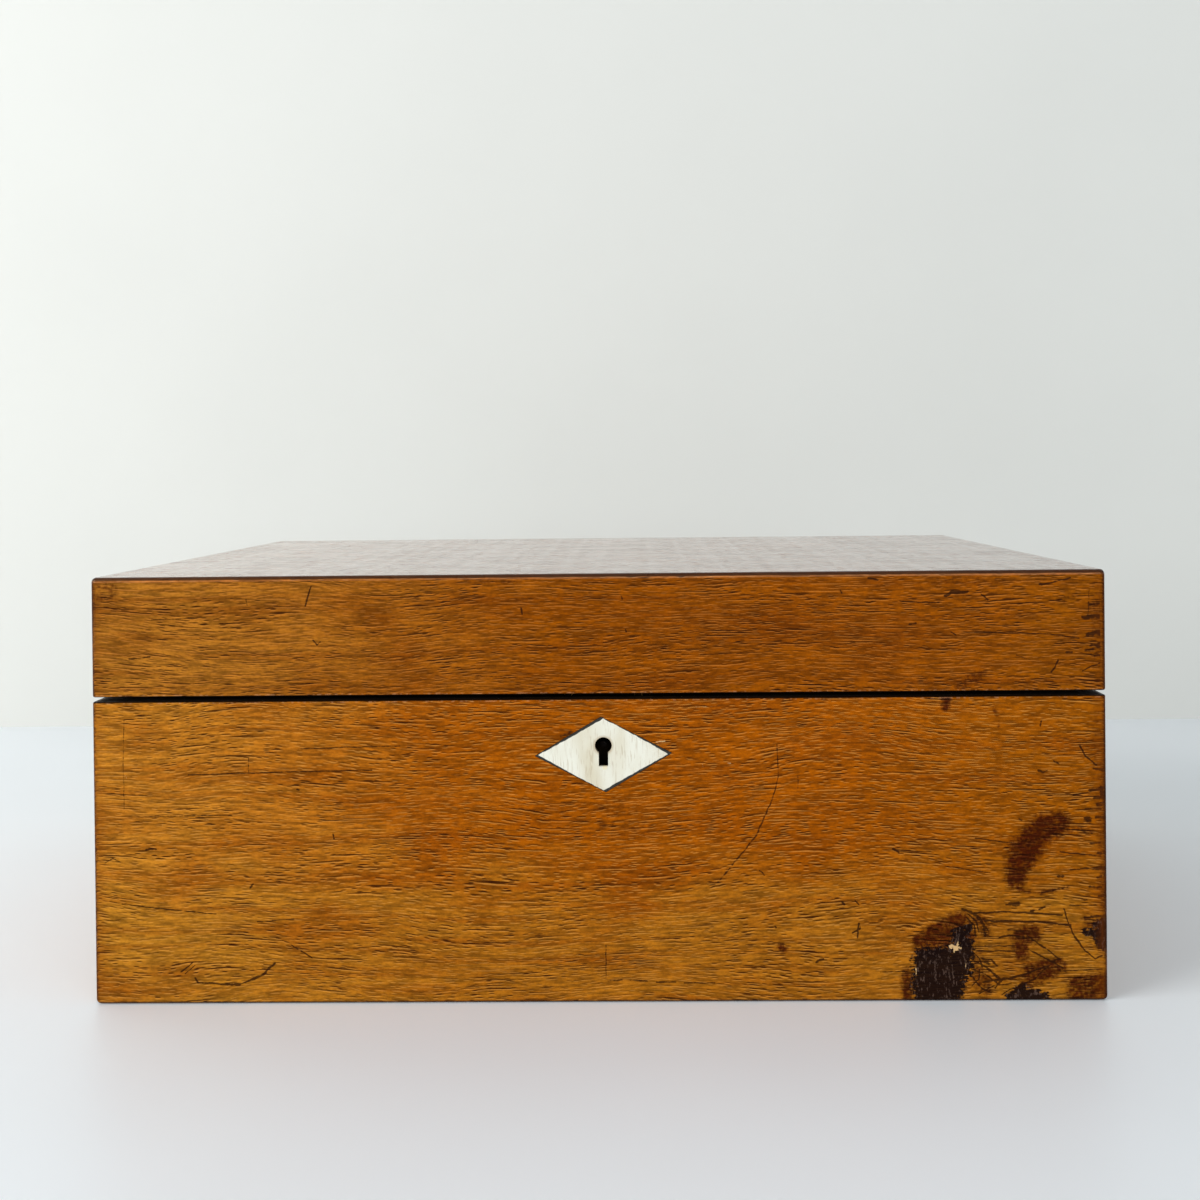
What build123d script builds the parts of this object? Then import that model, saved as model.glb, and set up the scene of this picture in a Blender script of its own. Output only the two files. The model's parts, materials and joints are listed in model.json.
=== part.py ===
from build123d import *

import os
from math import acos, degrees, radians, sin, tan

# A wooden sewing box: a veneered base, a hinged lid, a box lock and a lift-out tray.
# Millimetres. +Z is up, X runs along the front, and the front faces -Y.
# The origin is the centre of the underside.

# Case, outside sizes
box_width = 300.0
box_depth = 225.0
base_height = 90.0
rim_gap = 1.4
lid_height = 35.6

# Case, thicknesses and rounding
veneer = 1.5
board = 8.5
bottom_board = 7.0
top_board = 6.5
corner_round = 1.6
foot_round = 1.3
top_round = 1.4
rim_round = 0.5

# Escutcheon, a hand-cut rhombus of bone that leans a little
escutcheon_width = 40.3
escutcheon_height = 22.2
escutcheon_drop = 16.5
escutcheon_lean = 0.65
escutcheon_tilt = 0.3
inlay_clearance = 0.12
keyhole_offset = 2.0
keyhole_drop = 13.9
keyhole_radius = 2.5
keyhole_slot_width = 2.8
keyhole_slot_length = 6.1
keyhole_ease = 0.3

# Lock case
selvedge_length = 60.0
selvedge_depth = 7.5
plate_thickness = 1.2
plate_height = 32.0
plate_proud = 0.3
cap_width = 48.0
cap_height = 24.0
cap_wall = 0.8
lock_depth = 7.0
pocket_clearance = 0.15

# Lock works
bolt_thickness = 1.8
bolt_travel = 5.0
bolt_bar_height = 3.6
bolt_clearance = 0.6
bolt_overrun = 0.6
arm_width = 4.0
tongue_length = 4.4
tongue_height = 2.6
tongue_clearance = 0.4
tongue_gap = 1.2
talon_width = 3.0
talon_depth = 1.2
stud_radius = 0.8
stud_spacing = 21.0
stud_offset = 1.5
stud_clearance = 0.1
key_pin_radius = 0.9
spring_radius = 3.0
spring_thickness = 0.4
spring_width = 1.6
spring_sweep = 150.0
spring_clearance = 0.1

# Link plate in the lid, and two hooks brazed to it that drop into the lock
hook_spacing = 21.0
hook_thickness = 1.6
hook_width = 4.0
hook_drop = 8.5
hook_tip = 1.4
hook_clearance = 0.5

# Hinges
hinge_end = 36.0
leaf_width = 38.0
leaf_depth = 7.5
leaf_thickness = 1.2
leaf_gap = 0.5
barrel_radius = 2.25
barrel_inset = 0.25
barrel_clearance = 0.35
knuckle_count = 5
knuckle_gap = 0.3
pin_radius = 1.0
pin_clearance = 0.05
bevel_angle = 50.0
hinge_screw_spacing = 12.0
hinge_screw_inset = 4.9

# Screws
screw_head_radius = 2.0
screw_shank_radius = 1.0
screw_length = 9.0
lock_screw_length = 5.5
screw_clearance = 0.05
screw_point = 2.0
screw_slot_width = 0.6
screw_slot_depth = 0.4
countersink_angle = 82.0
lock_screw_inset = 3.0
link_screw_inset = 5.0

# Linings of papered card
lining = 1.0
lining_setback = 0.6
lining_window = 1.0

# Tray and the bearers that it rests on
tray_clearance = 0.75
tray_height = 32.0
tray_setback = 1.0
tray_wall = 3.0
tray_bottom_board = 2.0
divider = 2.5
centre_bay_width = 91.5
middle_row_depth = 63.5
bearer_thickness = 4.0
bearer_height = 6.0
bearer_length = 170.0
bearer_round = 1.5

# Lids of two tray cells, their padding and knobs
cell_lid_clearance = 0.5
cell_lid_board = 2.0
cell_lid_setback = 3.0
ledge_thickness = 2.0
ledge_height = 3.0
pad_inset = 0.8
pad_height = 3.5
pad_round = 2.2
knob_radius = 2.8
knob_height = 6.6
knob_neck_radius = 1.5
knob_foot_radius = 2.6
knob_foot_height = 0.8
knob_clearance = 0.2

# Stuffed parts
cushion_clearance = 0.5
cushion_rise = 3.0
cushion_round = 9.0
panel_clearance = 0.5
panel_height = 6.0
panel_round = 2.5

# Cutters run this far past the face that they open
past = 1.0

# Places worked out from the sizes
half_width = box_width / 2
half_depth = box_depth / 2
wall = veneer + board
inner_x = half_width - wall
inner_y = half_depth - wall
lid_rim = base_height + rim_gap
box_height = lid_rim + lid_height
rail_top = box_height - veneer - top_board
lined_x = inner_x - lining
lined_y = inner_y - lining
floor_top = bottom_board + lining

hinge_y = half_depth - barrel_radius - barrel_inset
hinge_z = base_height + rim_gap / 2
hinge_x = half_width - hinge_end - leaf_width / 2
hinge_places = [-hinge_x, hinge_x]
knuckle_length = leaf_width / knuckle_count

plate_top = base_height + plate_proud
plate_bottom = plate_top - plate_height
selvedge_bottom = plate_top - plate_thickness
selvedge_y = -inner_y - selvedge_depth / 2
cap_bottom = selvedge_bottom - cap_height
plate_front = -inner_y - plate_thickness
lock_front = -inner_y - lock_depth
works_y = (plate_front + lock_front + cap_wall) / 2
keyhole_z = base_height - keyhole_drop
link_bottom = lid_rim - plate_proud
hook_end = link_bottom - hook_drop
hook_places = [keyhole_offset - hook_spacing / 2, keyhole_offset + hook_spacing / 2]

tray_x = lined_x - tray_clearance
tray_y = lined_y - tray_clearance
tray_top = base_height - tray_setback
tray_bottom = tray_top - tray_height
tray_floor = tray_bottom + tray_bottom_board
tray_wall_z = (tray_floor + tray_top) / 2
tray_wall_height = tray_top - tray_floor
centre_x = centre_bay_width / 2
middle_y = middle_row_depth / 2
side_bay_width = tray_x - tray_wall - centre_x - divider
side_bay_x = centre_x + divider + side_bay_width / 2
lid_seat = tray_top - cell_lid_setback - cell_lid_board
pad_top = lid_seat + cell_lid_board + pad_height

os.makedirs("parts", exist_ok=True)


def keep(part, name):
    """Labels a finished piece and writes it to its own file."""
    part.label = name
    export_step(part, f"parts/{name}.step")


def block(low, high, mode=Mode.ADD):
    """A plain block between two corners, in the part that is being made."""
    centre = tuple((a + b) / 2 for a, b in zip(low, high))
    with Locations(centre):
        Box(*[b - a for a, b in zip(low, high)], mode=mode)


# The outsides of the base and the lid, whole, with their worn, rounded edges.
# Each veneer is a slice of them.


def rounded_block(bottom, top, bottom_round, upper_round):
    with BuildPart() as outside:
        with BuildSketch(Plane.XY.offset(bottom)):
            RectangleRounded(box_width, box_depth, corner_round)
        extrude(amount=top - bottom)
        fillet(outside.faces().sort_by(Axis.Z)[-1].edges(), upper_round)
        fillet(outside.faces().sort_by(Axis.Z)[0].edges(), bottom_round)
    return outside.part


base_outside = rounded_block(0, base_height, foot_round, rim_round)
lid_outside = rounded_block(lid_rim, box_height, rim_round, top_round)

# What the hinges take out of the wood: a vee along the back joint, whose faces meet
# and stop the lid just past upright, and pockets for the barrels and the leaves.
groove_reach = barrel_radius + barrel_inset + past
groove_rise = groove_reach * tan(radians(bevel_angle))
with BuildPart() as hinge_cutter:
    with BuildSketch(Plane.YZ):
        with BuildLine():
            Polyline(
                (hinge_y, hinge_z),
                (hinge_y + groove_reach, hinge_z + groove_rise),
                (hinge_y + groove_reach, hinge_z - groove_rise),
                close=True,
            )
        make_face()
    extrude(amount=half_width + past, both=True)
    with Locations(*[(x, hinge_y, hinge_z) for x in hinge_places]):
        Cylinder(
            barrel_radius + barrel_clearance,
            leaf_width + 2 * barrel_clearance,
            rotation=(0, 90, 0),
        )
        with Locations((0, -leaf_depth / 2, 0)):
            Box(
                leaf_width + 2 * pocket_clearance,
                leaf_depth + 2 * pocket_clearance,
                leaf_gap + 2 * leaf_thickness,
            )

# The keyhole, bored through everything in front of the lock's works
with BuildPart() as keyhole_bore:
    with BuildSketch(Plane.XZ.offset(-lock_front - past)):
        with Locations((keyhole_offset, keyhole_z)):
            Circle(keyhole_radius)
            with Locations((0, -keyhole_slot_length / 2)):
                Rectangle(keyhole_slot_width, keyhole_slot_length)
    extrude(amount=half_depth + 2 * past + lock_front)

with BuildPart() as wide_keyhole_bore:
    with BuildSketch(Plane.XZ.offset(-lock_front - past)):
        with Locations((keyhole_offset, keyhole_z)):
            Circle(keyhole_radius)
            with Locations((0, -keyhole_slot_length / 2)):
                Rectangle(keyhole_slot_width, keyhole_slot_length)
        offset(amount=keyhole_ease)
    extrude(amount=half_depth + 2 * past + lock_front)

# Corners of the bone rhombus on the front, round its middle
escutcheon_corners = [
    (escutcheon_width / 2, escutcheon_tilt),
    (-escutcheon_lean, escutcheon_height / 2),
    (-escutcheon_width / 2, -escutcheon_tilt),
    (escutcheon_lean, -escutcheon_height / 2),
]
escutcheon_place = (keyhole_offset, base_height - escutcheon_drop)

# Where the screws go. Each plane's Z axis leaves the head's face.
lock_screw_x = selvedge_length / 2 - lock_screw_inset
link_screw_x = selvedge_length / 2 - link_screw_inset


def hinge_screw_planes(side):
    """Screws in the leaves of the base, side -1, or of the lid, side 1."""
    z = hinge_z + side * leaf_gap / 2
    return [
        Plane(
            origin=(x + step * hinge_screw_spacing, hinge_y - hinge_screw_inset, z),
            z_dir=(0, 0, -side),
        )
        for x in hinge_places
        for step in (-1, 0, 1)
    ]


lock_screw_planes = [
    Plane(origin=(keyhole_offset + x, -inner_y, z), x_dir=(1, 0, 0), z_dir=(0, 1, 0))
    for x in (-lock_screw_x, lock_screw_x)
    for z in (selvedge_bottom - lock_screw_inset, plate_bottom + lock_screw_inset)
]
link_screw_planes = [
    Plane(origin=(keyhole_offset + x, selvedge_y, link_bottom), z_dir=(0, 0, -1))
    for x in (-link_screw_x, link_screw_x)
]


def bore_pilots(planes, length):
    """Bores for wood screws, in the board that is being made."""
    with Locations(*planes):
        Cylinder(
            screw_shank_radius + screw_clearance,
            length + screw_point,
            align=(Align.CENTER, Align.CENTER, Align.MAX),
            mode=Mode.SUBTRACT,
        )


def bore_countersinks(planes):
    """Countersunk holes through a plate, in the part that is being made."""
    with Locations(*planes):
        CounterSinkHole(
            screw_shank_radius + screw_clearance,
            screw_head_radius + screw_clearance,
            depth=plate_thickness + past,
            counter_sink_angle=countersink_angle,
        )


# Base: boards

with BuildPart() as base_bottom_board:
    with Locations((0, 0, bottom_board / 2)):
        Box(box_width - 2 * veneer, box_depth - 2 * veneer, bottom_board)
keep(base_bottom_board.part, "base_bottom_board")

for name, side in (("base_left_board", -1), ("base_right_board", 1)):
    with BuildPart() as end_board:
        with Locations((side * (inner_x + board / 2), 0, (bottom_board + base_height) / 2)):
            Box(board, box_depth - 2 * veneer, base_height - bottom_board)
        add(hinge_cutter.part, mode=Mode.SUBTRACT)
    keep(end_board.part, name)

with BuildPart() as base_back_board:
    with Locations((0, inner_y + board / 2, (bottom_board + base_height) / 2)):
        Box(2 * inner_x, board, base_height - bottom_board)
    add(hinge_cutter.part, mode=Mode.SUBTRACT)
    bore_pilots(hinge_screw_planes(-1), screw_length)
keep(base_back_board.part, "base_back_board")

# The front board has a deep mortise for the lock's cap, and shallow ones for its
# back plate and its selvedge.
cap_side = cap_width / 2 + pocket_clearance
plate_side = selvedge_length / 2 + pocket_clearance
with BuildPart() as base_front_board:
    with Locations((0, -inner_y - board / 2, (bottom_board + base_height) / 2)):
        Box(2 * inner_x, board, base_height - bottom_board)
    block(
        (keyhole_offset - cap_side, lock_front - pocket_clearance, cap_bottom - pocket_clearance),
        (keyhole_offset + cap_side, past - inner_y, base_height + past),
        Mode.SUBTRACT,
    )
    block(
        (keyhole_offset - plate_side, plate_front, plate_bottom - pocket_clearance),
        (keyhole_offset + plate_side, past - inner_y, base_height + past),
        Mode.SUBTRACT,
    )
    block(
        (
            keyhole_offset - plate_side,
            -inner_y - selvedge_depth - pocket_clearance,
            selvedge_bottom,
        ),
        (keyhole_offset + plate_side, past - inner_y, base_height + past),
        Mode.SUBTRACT,
    )
    add(wide_keyhole_bore.part, mode=Mode.SUBTRACT)
    bore_pilots(lock_screw_planes, lock_screw_length)
keep(base_front_board.part, "base_front_board")

# Base: veneers. The front and back sheets cover the ends of the side sheets.

for name, side in (("base_left_veneer", -1), ("base_right_veneer", 1)):
    with BuildPart() as side_veneer:
        with Locations((side * (half_width - veneer / 2), 0, base_height / 2)):
            Box(veneer, box_depth - 2 * veneer, base_height)
        add(base_outside, mode=Mode.INTERSECT)
        add(hinge_cutter.part, mode=Mode.SUBTRACT)
    keep(side_veneer.part, name)

with BuildPart() as base_back_veneer:
    with Locations((0, half_depth - veneer / 2, base_height / 2)):
        Box(box_width, veneer, base_height)
    add(base_outside, mode=Mode.INTERSECT)
    add(hinge_cutter.part, mode=Mode.SUBTRACT)
keep(base_back_veneer.part, "base_back_veneer")

with BuildPart() as base_front_veneer:
    with Locations((0, -half_depth + veneer / 2, base_height / 2)):
        Box(box_width, veneer, base_height)
    add(base_outside, mode=Mode.INTERSECT)
    with BuildSketch(Plane.XZ.offset(half_depth - veneer)):
        with Locations(escutcheon_place):
            Polygon(*escutcheon_corners, align=None)
        offset(amount=inlay_clearance, kind=Kind.INTERSECTION)
    extrude(amount=veneer, mode=Mode.SUBTRACT)
keep(base_front_veneer.part, "base_front_veneer")

with BuildPart() as escutcheon:
    with BuildSketch(Plane.XZ.offset(half_depth - veneer)):
        with Locations(escutcheon_place):
            Polygon(*escutcheon_corners, align=None)
    extrude(amount=veneer)
    add(keyhole_bore.part, mode=Mode.SUBTRACT)
keep(escutcheon.part, "escutcheon")

# Base: papered card linings, with a window round the lock's back plate

with BuildPart() as base_floor_lining:
    with Locations((0, 0, bottom_board + lining / 2)):
        Box(2 * inner_x, 2 * inner_y, lining)
keep(base_floor_lining.part, "base_floor_lining")

base_lining_top = base_height - lining_setback
window_side = selvedge_length / 2 + lining_window
with BuildPart() as base_long_linings:
    for side in (-1, 1):
        with Locations((0, side * (inner_y - lining / 2), (floor_top + base_lining_top) / 2)):
            Box(2 * inner_x, lining, base_lining_top - floor_top)
    block(
        (keyhole_offset - window_side, -inner_y - past, plate_bottom - lining_window),
        (keyhole_offset + window_side, past - lined_y, base_height + past),
        Mode.SUBTRACT,
    )
keep(base_long_linings.part, "base_long_linings")

with BuildPart() as base_end_linings:
    for side in (-1, 1):
        with Locations((side * (inner_x - lining / 2), 0, (floor_top + base_lining_top) / 2)):
            Box(lining, 2 * lined_y, base_lining_top - floor_top)
keep(base_end_linings.part, "base_end_linings")

with BuildPart() as tray_bearers:
    for side in (-1, 1):
        with Locations((side * (lined_x - bearer_thickness / 2), 0, tray_bottom)):
            Box(
                bearer_thickness,
                bearer_length,
                bearer_height,
                align=(Align.CENTER, Align.CENTER, Align.MAX),
            )
    inner_edges = tray_bearers.edges().filter_by(Axis.Z).sort_by(lambda e: abs(e.center().X))[:4]
    fillet(inner_edges, bearer_round)
keep(tray_bearers.part, "tray_bearers")

# Lid: rails and top board

for name, side in (("lid_left_board", -1), ("lid_right_board", 1)):
    with BuildPart() as end_rail:
        with Locations((side * (inner_x + board / 2), 0, (lid_rim + rail_top) / 2)):
            Box(board, box_depth - 2 * veneer, rail_top - lid_rim)
        add(hinge_cutter.part, mode=Mode.SUBTRACT)
    keep(end_rail.part, name)

with BuildPart() as lid_back_board:
    with Locations((0, inner_y + board / 2, (lid_rim + rail_top) / 2)):
        Box(2 * inner_x, board, rail_top - lid_rim)
    add(hinge_cutter.part, mode=Mode.SUBTRACT)
    bore_pilots(hinge_screw_planes(1), screw_length)
keep(lid_back_board.part, "lid_back_board")

with BuildPart() as lid_front_board:
    with Locations((0, -inner_y - board / 2, (lid_rim + rail_top) / 2)):
        Box(2 * inner_x, board, rail_top - lid_rim)
    with Locations((keyhole_offset, selvedge_y, link_bottom + plate_thickness / 2)):
        Box(
            selvedge_length + 2 * pocket_clearance,
            selvedge_depth + 2 * pocket_clearance,
            plate_thickness,
            mode=Mode.SUBTRACT,
        )
    bore_pilots(link_screw_planes, screw_length)
keep(lid_front_board.part, "lid_front_board")

with BuildPart() as lid_top_board:
    with Locations((0, 0, rail_top + top_board / 2)):
        Box(box_width - 2 * veneer, box_depth - 2 * veneer, top_board)
keep(lid_top_board.part, "lid_top_board")

# Lid: veneers. The top sheet covers the edges of the others.

veneer_top = box_height - veneer
veneer_z = (lid_rim + veneer_top) / 2
end_sheet = (veneer, box_depth - 2 * veneer, veneer_top - lid_rim)
long_sheet = (box_width, veneer, veneer_top - lid_rim)
lid_sheets = {
    "lid_left_veneer": ((-half_width + veneer / 2, 0, veneer_z), end_sheet),
    "lid_right_veneer": ((half_width - veneer / 2, 0, veneer_z), end_sheet),
    "lid_back_veneer": ((0, half_depth - veneer / 2, veneer_z), long_sheet),
    "lid_front_veneer": ((0, -half_depth + veneer / 2, veneer_z), long_sheet),
    "lid_top_veneer": ((0, 0, box_height - veneer / 2), (box_width, box_depth, veneer)),
}
for name, (centre, size) in lid_sheets.items():
    with BuildPart() as sheet:
        with Locations(centre):
            Box(*size)
        add(lid_outside, mode=Mode.INTERSECT)
        add(hinge_cutter.part, mode=Mode.SUBTRACT)
    keep(sheet.part, name)

# Lid: linings, and the padded panel that fills its underside

lid_lining_low = lid_rim + lining_setback
with BuildPart() as lid_long_linings:
    for side in (-1, 1):
        with Locations((0, side * (inner_y - lining / 2), (lid_lining_low + rail_top) / 2)):
            Box(2 * inner_x, lining, rail_top - lid_lining_low)
keep(lid_long_linings.part, "lid_long_linings")

with BuildPart() as lid_end_linings:
    for side in (-1, 1):
        with Locations((side * (inner_x - lining / 2), 0, (lid_lining_low + rail_top) / 2)):
            Box(lining, 2 * lined_y, rail_top - lid_lining_low)
keep(lid_end_linings.part, "lid_end_linings")

with BuildPart() as lid_padded_panel:
    with Locations((0, 0, rail_top - panel_height / 2)):
        Box(2 * (lined_x - panel_clearance), 2 * (lined_y - panel_clearance), panel_height)
    fillet(lid_padded_panel.faces().sort_by(Axis.Z)[0].edges(), panel_round)
keep(lid_padded_panel.part, "lid_padded_panel")

# Hinges: five knuckles on a pin, with the base leaf's at both ends


def knuckle_places(x, first):
    """Middles along the pin of every second knuckle, starting with the first given."""
    start = x - leaf_width / 2 + knuckle_length / 2
    return [
        (start + i * knuckle_length, hinge_y, hinge_z) for i in range(first, knuckle_count, 2)
    ]


def hinge_leaf(x, side):
    """A leaf at x with its knuckles, for the base, side -1, or for the lid, side 1."""
    own = 0 if side < 0 else 1
    leaf_z = hinge_z + side * (leaf_gap + leaf_thickness) / 2
    with BuildPart() as leaf:
        with Locations((x, hinge_y - leaf_depth / 2, leaf_z)):
            Box(leaf_width, leaf_depth, leaf_thickness)
        with Locations(*knuckle_places(x, 1 - own)):
            Cylinder(
                barrel_radius + barrel_clearance,
                knuckle_length + knuckle_gap,
                rotation=(0, 90, 0),
                mode=Mode.SUBTRACT,
            )
        with Locations(*knuckle_places(x, own)):
            Cylinder(barrel_radius, knuckle_length - knuckle_gap, rotation=(0, 90, 0))
        with Locations((x, hinge_y, hinge_z)):
            Cylinder(
                pin_radius + pin_clearance,
                leaf_width + 2 * past,
                rotation=(0, 90, 0),
                mode=Mode.SUBTRACT,
            )
        bore_countersinks(
            [p for p in hinge_screw_planes(side) if abs(p.origin.X - x) < leaf_width / 2]
        )
    return leaf.part


for word, x in zip(("left", "right"), hinge_places):
    keep(hinge_leaf(x, -1), f"{word}_hinge_base_leaf")
    keep(hinge_leaf(x, 1), f"{word}_hinge_lid_leaf")

with BuildPart() as hinge_pins:
    with Locations(*[(x, hinge_y, hinge_z) for x in hinge_places]):
        Cylinder(pin_radius, leaf_width - knuckle_gap, rotation=(0, 90, 0))
keep(hinge_pins.part, "hinge_pins")

# Screws


def wood_screw(length):
    """A slotted countersunk screw with the face of its head at the origin, point down."""
    head_height = (screw_head_radius - screw_shank_radius) / tan(radians(countersink_angle / 2))
    with BuildPart() as screw:
        with BuildSketch(Plane.XZ):
            with BuildLine():
                Polyline(
                    (0, 0),
                    (screw_head_radius, 0),
                    (screw_shank_radius, -head_height),
                    (screw_shank_radius, screw_point - length),
                    (0, -length),
                    close=True,
                )
            make_face()
        revolve(axis=Axis.Z)
        with Locations((0, 0, -screw_slot_depth / 2)):
            Box(3 * screw_head_radius, screw_slot_width, screw_slot_depth, mode=Mode.SUBTRACT)
    return screw.part


long_screw = wood_screw(screw_length)
short_screw = wood_screw(lock_screw_length)
screw_sets = {
    "hinge_base_screws": (long_screw, hinge_screw_planes(-1)),
    "hinge_lid_screws": (long_screw, hinge_screw_planes(1)),
    "lock_screws": (short_screw, lock_screw_planes),
    "link_plate_screws": (long_screw, link_screw_planes),
}
for name, (screw, planes) in screw_sets.items():
    with BuildPart() as screws:
        with Locations(*planes):
            add(screw)
    keep(screws.part, name)

# Lock: the back plate with its selvedge, and the cap over the works

plate_half = selvedge_length / 2
with BuildPart() as lock_plate:
    block(
        (keyhole_offset - plate_half, plate_front, plate_bottom),
        (keyhole_offset + plate_half, -inner_y, plate_top),
    )
    block(
        (keyhole_offset - plate_half, -inner_y - selvedge_depth, selvedge_bottom),
        (keyhole_offset + plate_half, -inner_y, plate_top),
    )
    with Locations(*[(x, works_y, plate_top - plate_thickness / 2) for x in hook_places]):
        Box(
            hook_thickness + 2 * hook_clearance,
            hook_width + 2 * hook_clearance,
            plate_thickness,
            mode=Mode.SUBTRACT,
        )
    bore_countersinks(lock_screw_planes)
keep(lock_plate.part, "lock_plate")

cap_half = cap_width / 2
with BuildPart() as lock_cap:
    block(
        (keyhole_offset - cap_half, lock_front, cap_bottom),
        (keyhole_offset + cap_half, plate_front, selvedge_bottom),
    )
    block(
        (keyhole_offset - cap_half + cap_wall, lock_front + cap_wall, cap_bottom + cap_wall),
        (keyhole_offset + cap_half - cap_wall, plate_front, selvedge_bottom),
        Mode.SUBTRACT,
    )
    add(keyhole_bore.part, mode=Mode.SUBTRACT)
keep(lock_cap.part, "lock_cap")

# Lock: the bolt slides on two studs, and its tongues enter the eyes of the hooks.

bar_top = hook_end - bolt_clearance
bar_z = bar_top - bolt_bar_height / 2
eye_height = tongue_height + 2 * tongue_clearance
eye_z = hook_end + hook_tip + eye_height / 2
tongue_ends = [x - hook_thickness / 2 - tongue_gap for x in hook_places]
spring_side = spring_radius + spring_thickness / 2
spring_x = tongue_ends[1] + bolt_travel + hook_clearance + spring_side
bar_left = tongue_ends[0] - tongue_length - arm_width
bar_right = spring_x + bolt_overrun
arm_top = eye_z + tongue_height / 2
stud_places = [
    (keyhole_offset + stud_offset - stud_spacing / 2, bar_z),
    (keyhole_offset + stud_offset + stud_spacing / 2, bar_z),
]

with BuildPart() as lock_bolt:
    with BuildSketch(Plane.XZ.offset(-works_y)):
        with Locations(((bar_left + bar_right) / 2, bar_z)):
            Rectangle(bar_right - bar_left, bolt_bar_height)
        for end in tongue_ends:
            with Locations((end - tongue_length - arm_width / 2, (bar_z + arm_top) / 2)):
                Rectangle(arm_width, arm_top - bar_z)
            with Locations((end - (tongue_length + arm_width) / 2, eye_z)):
                Rectangle(tongue_length + arm_width, tongue_height)
        for x, z in stud_places:
            with Locations((x - bolt_travel / 2, z)):
                SlotCenterToCenter(
                    bolt_travel, 2 * (stud_radius + stud_clearance), mode=Mode.SUBTRACT
                )
        with Locations((keyhole_offset - bolt_travel / 2, bar_z - bolt_bar_height / 2)):
            Rectangle(talon_width, 2 * talon_depth, mode=Mode.SUBTRACT)
    extrude(amount=bolt_thickness / 2, both=True)
keep(lock_bolt.part, "lock_bolt")

stud_length = plate_front - works_y + bolt_thickness / 2 + stud_clearance
with BuildPart() as lock_pins:
    with BuildSketch(Plane.XZ.offset(-plate_front)):
        with Locations(*stud_places):
            Circle(stud_radius)
    extrude(amount=stud_length)
    with BuildSketch(Plane.XZ.offset(-plate_front)):
        with Locations((keyhole_offset, keyhole_z)):
            Circle(key_pin_radius)
    extrude(amount=plate_front - lock_front)
keep(lock_pins.part, "lock_pins")

# A bow of spring strip hangs from the selvedge and bears on the bar of the bolt.

bow_z = bar_top + spring_clearance + spring_side
with BuildPart() as lock_spring:
    with BuildSketch(Plane.XZ.offset(-works_y)):
        with BuildLine():
            Line(
                (spring_x - spring_radius, selvedge_bottom - spring_thickness / 2),
                (spring_x - spring_radius, bow_z),
            )
            CenterArc((spring_x, bow_z), spring_radius, 180, spring_sweep)
            offset(amount=spring_thickness / 2, side=Side.BOTH)
        make_face()
    extrude(amount=spring_width / 2, both=True)
keep(lock_spring.part, "lock_spring")

with BuildPart() as link_plate:
    block(
        (keyhole_offset - plate_half, -inner_y - selvedge_depth, link_bottom),
        (keyhole_offset + plate_half, -inner_y, link_bottom + plate_thickness),
    )
    bore_countersinks(link_screw_planes)
keep(link_plate.part, "link_plate")

with BuildPart() as link_hooks:
    for x in hook_places:
        with BuildSketch(Plane.YZ.offset(x - hook_thickness / 2)):
            with Locations((works_y, (link_bottom + hook_end) / 2)):
                Rectangle(hook_width, link_bottom - hook_end)
            with Locations((works_y, eye_z)):
                Rectangle(bolt_thickness + 2 * tongue_clearance, eye_height, mode=Mode.SUBTRACT)
        extrude(amount=hook_thickness)
keep(link_hooks.part, "link_hooks")

# Tray: bottom, walls and dividers

with BuildPart() as tray_bottom_panel:
    with Locations((0, 0, tray_bottom + tray_bottom_board / 2)):
        Box(2 * tray_x, 2 * tray_y, tray_bottom_board)
keep(tray_bottom_panel.part, "tray_bottom")

for name, side in (("tray_left_wall", -1), ("tray_right_wall", 1)):
    with BuildPart() as tray_end:
        with Locations((side * (tray_x - tray_wall / 2), 0, tray_wall_z)):
            Box(tray_wall, 2 * tray_y, tray_wall_height)
    keep(tray_end.part, name)

for name, side in (("tray_front_wall", -1), ("tray_back_wall", 1)):
    with BuildPart() as tray_side:
        with Locations((0, side * (tray_y - tray_wall / 2), tray_wall_z)):
            Box(2 * (tray_x - tray_wall), tray_wall, tray_wall_height)
    keep(tray_side.part, name)

for name, side in (("tray_left_divider", -1), ("tray_right_divider", 1)):
    with BuildPart() as long_divider:
        with Locations((side * (centre_x + divider / 2), 0, tray_wall_z)):
            Box(divider, 2 * (tray_y - tray_wall), tray_wall_height)
    keep(long_divider.part, name)

with BuildPart() as tray_cross_dividers:
    for side in (-1, 1):
        with Locations((0, side * (middle_y + divider / 2), tray_wall_z)):
            Box(centre_bay_width, divider, tray_wall_height)
            with Locations((-side_bay_x, 0), (side_bay_x, 0)):
                Box(side_bay_width, divider, tray_wall_height)
keep(tray_cross_dividers.part, "tray_cross_dividers")

with BuildPart() as tray_lid_ledges:
    for side in (-1, 1):
        with Locations((0, side * (middle_y - ledge_thickness / 2), lid_seat - ledge_height / 2)):
            with Locations((-side_bay_x, 0), (side_bay_x, 0)):
                Box(side_bay_width, ledge_thickness, ledge_height)
keep(tray_lid_ledges.part, "tray_lid_ledges")

cushion_top = tray_top + cushion_rise
with BuildPart() as pincushion:
    with Locations((0, 0, (tray_floor + cushion_top) / 2)):
        Box(
            centre_bay_width - 2 * cushion_clearance,
            middle_row_depth - 2 * cushion_clearance,
            cushion_top - tray_floor,
        )
    fillet(pincushion.faces().sort_by(Axis.Z)[-1].edges(), cushion_round)
keep(pincushion.part, "pincushion")

# Lids of the two middle side cells: board, padding and a turned knob on a spigot

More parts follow.
